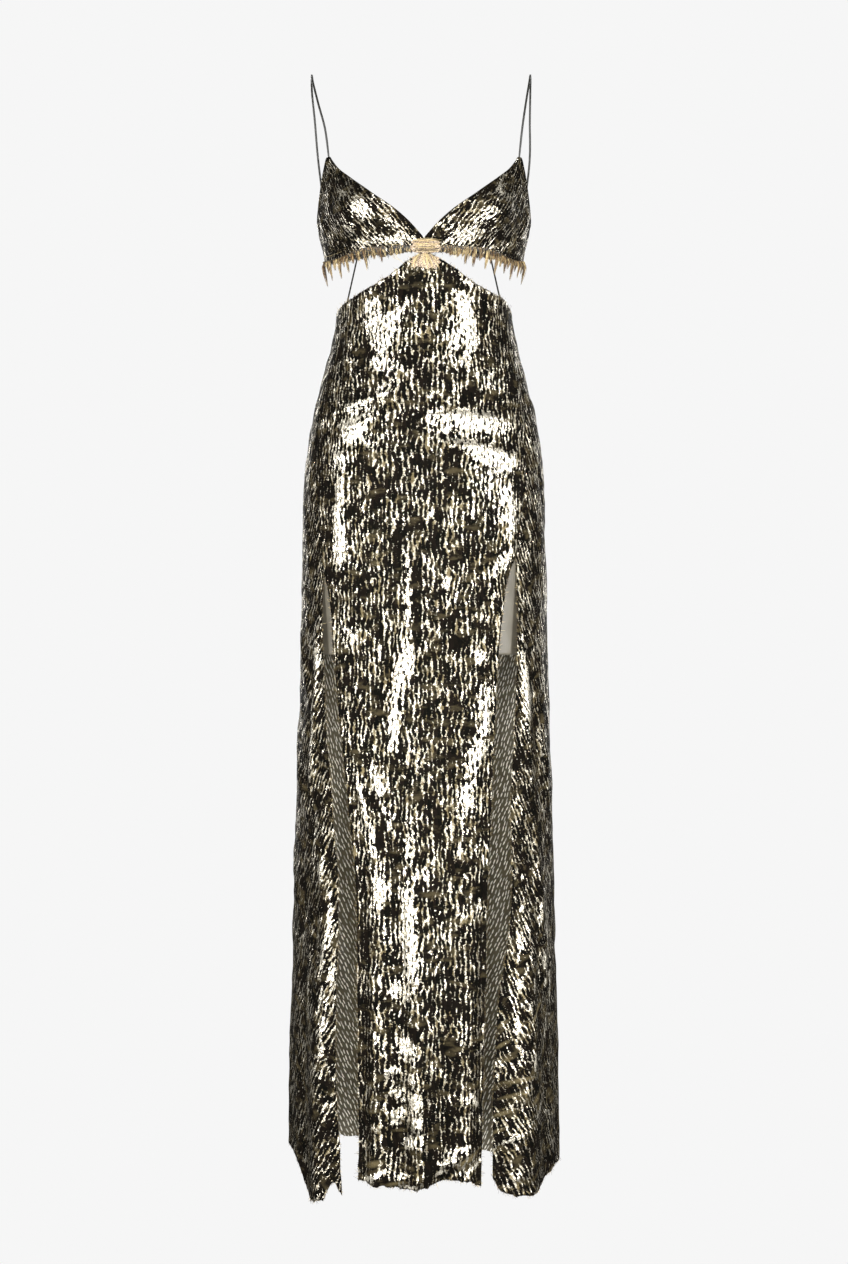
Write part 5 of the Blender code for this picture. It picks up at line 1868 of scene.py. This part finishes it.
@dataclass
class Studio:
    """Pale floor, soft lights and the photograph's camera."""

    camera_distance: float = 3.23
    camera_height: float = 0.751
    near_distance: float = 3.10     # from the camera to the front of the skirt
    near_pixel: float = 0.001334    # size of a photograph's pixel there
    frame_height: float = 1264.0    # pixels
    sensor: float = 36.0
    far_clip: float = 200.0
    floor_drop: float = 0.035       # floor below the level of the front hem
    floor_radius: float = 30.0
    backdrop: float = 0.922         # linear grey of the photograph's background
    fill: float = 0.11              # dim room that the foil mirrors

    def camera(self) -> None:
        """Level camera straight in front."""
        spot = (0.0, -self.camera_distance, self.camera_height - SHOULDER_HEIGHT)
        bpy.ops.object.camera_add(location=spot, rotation=(math.radians(90.0), 0.0, 0.0))
        camera = bpy.context.object
        camera.name = "studio_camera"
        camera.data.sensor_width = self.sensor
        camera.data.lens = self.sensor * self.near_distance / self.near_pixel / self.frame_height
        camera.data.clip_end = self.far_clip
        bpy.context.scene.camera = camera

    def floor(self) -> None:
        """Pale floor just below the hem."""
        bpy.ops.mesh.primitive_circle_add(vertices=96, radius=self.floor_radius, fill_type="NGON",
                                          location=(0.0, 0.0, -SHOULDER_HEIGHT - self.floor_drop))
        floor = bpy.context.object
        floor.name = "studio_floor"
        paper = Recipe("matt_studio_paper").finish({
            "Base Color": (0.0, 0.0, 0.0, 1.0), "Roughness": 1.0, "Specular IOR Level": 0.0,
            "Emission Color": (1.0, 1.0, 1.0, 1.0), "Emission Strength": self.backdrop})
        floor.data.materials.append(paper)
        floor.visible_glossy = False
        floor.visible_diffuse = False
        floor.visible_shadow = False

    def room(self) -> None:
        """Pale background for the camera, and a soft dim room for the light on the cloth."""
        world = bpy.data.worlds.new("studio_room")
        bpy.context.scene.world = world
        world.use_nodes = True
        tree = world.node_tree
        tree.nodes.clear()
        seen = add_node(tree, "LightPath").outputs["Is Camera Ray"]
        room, pale = (add_node(tree, "Background", {"Color": (grey, grey, grey, 1.0)}).outputs[0]
                      for grey in (self.fill, self.backdrop))
        mixed = add_node(tree, "MixShader", {0: seen, 1: room, 2: pale}).outputs[0]
        add_node(tree, "OutputWorld", {0: mixed})

    def build(self) -> None:
        """Camera, floor, room and lights."""
        self.camera()
        self.floor()
        self.room()
        for softbox in (
            Softbox("key_left", -56.0, 2.4, 0.90, 0.6, 2.6, 74.0),
            Softbox("key_right", 54.0, 2.4, 0.90, 0.6, 2.6, 82.0),
            Softbox("front", 0.0, 3.5, 1.8, 0.6, 1.4, 88.0, 0.6),
            # stands in for the light that a pale studio floor throws up on the lower skirt
            Softbox("low_front", 4.0, 3.0, -0.20, 1.1, 1.1, 54.0, 0.2),
            Softbox("rear_left", -150.0, 2.6, 1.3, 0.7, 2.0, 26.0),
            Softbox("rear_right", 150.0, 2.6, 1.3, 0.7, 2.0, 26.0),
        ):
            softbox.place()
        bpy.context.scene.view_settings.view_transform = "Standard"
        bpy.context.scene.view_settings.look = "None"


def main() -> None:
    """Build the gown's looks piece by piece."""
    logging.basicConfig(level=logging.INFO, format="%(name)s %(message)s")
    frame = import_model()
    bpy.ops.object.select_all(action="DESELECT")
    finishes = Finishes()
    Studio().build()
    Skirt(finishes).build()
    Lining(finishes.satin).build()
    Cups(finishes).build()
    FrayedBand(finishes).build()
    CentreJoin(finishes).build()
    Cords(finishes.rouleau).build()
    Zip(finishes, frame["nodes"]).build()


if __name__ == "__main__":
    main()
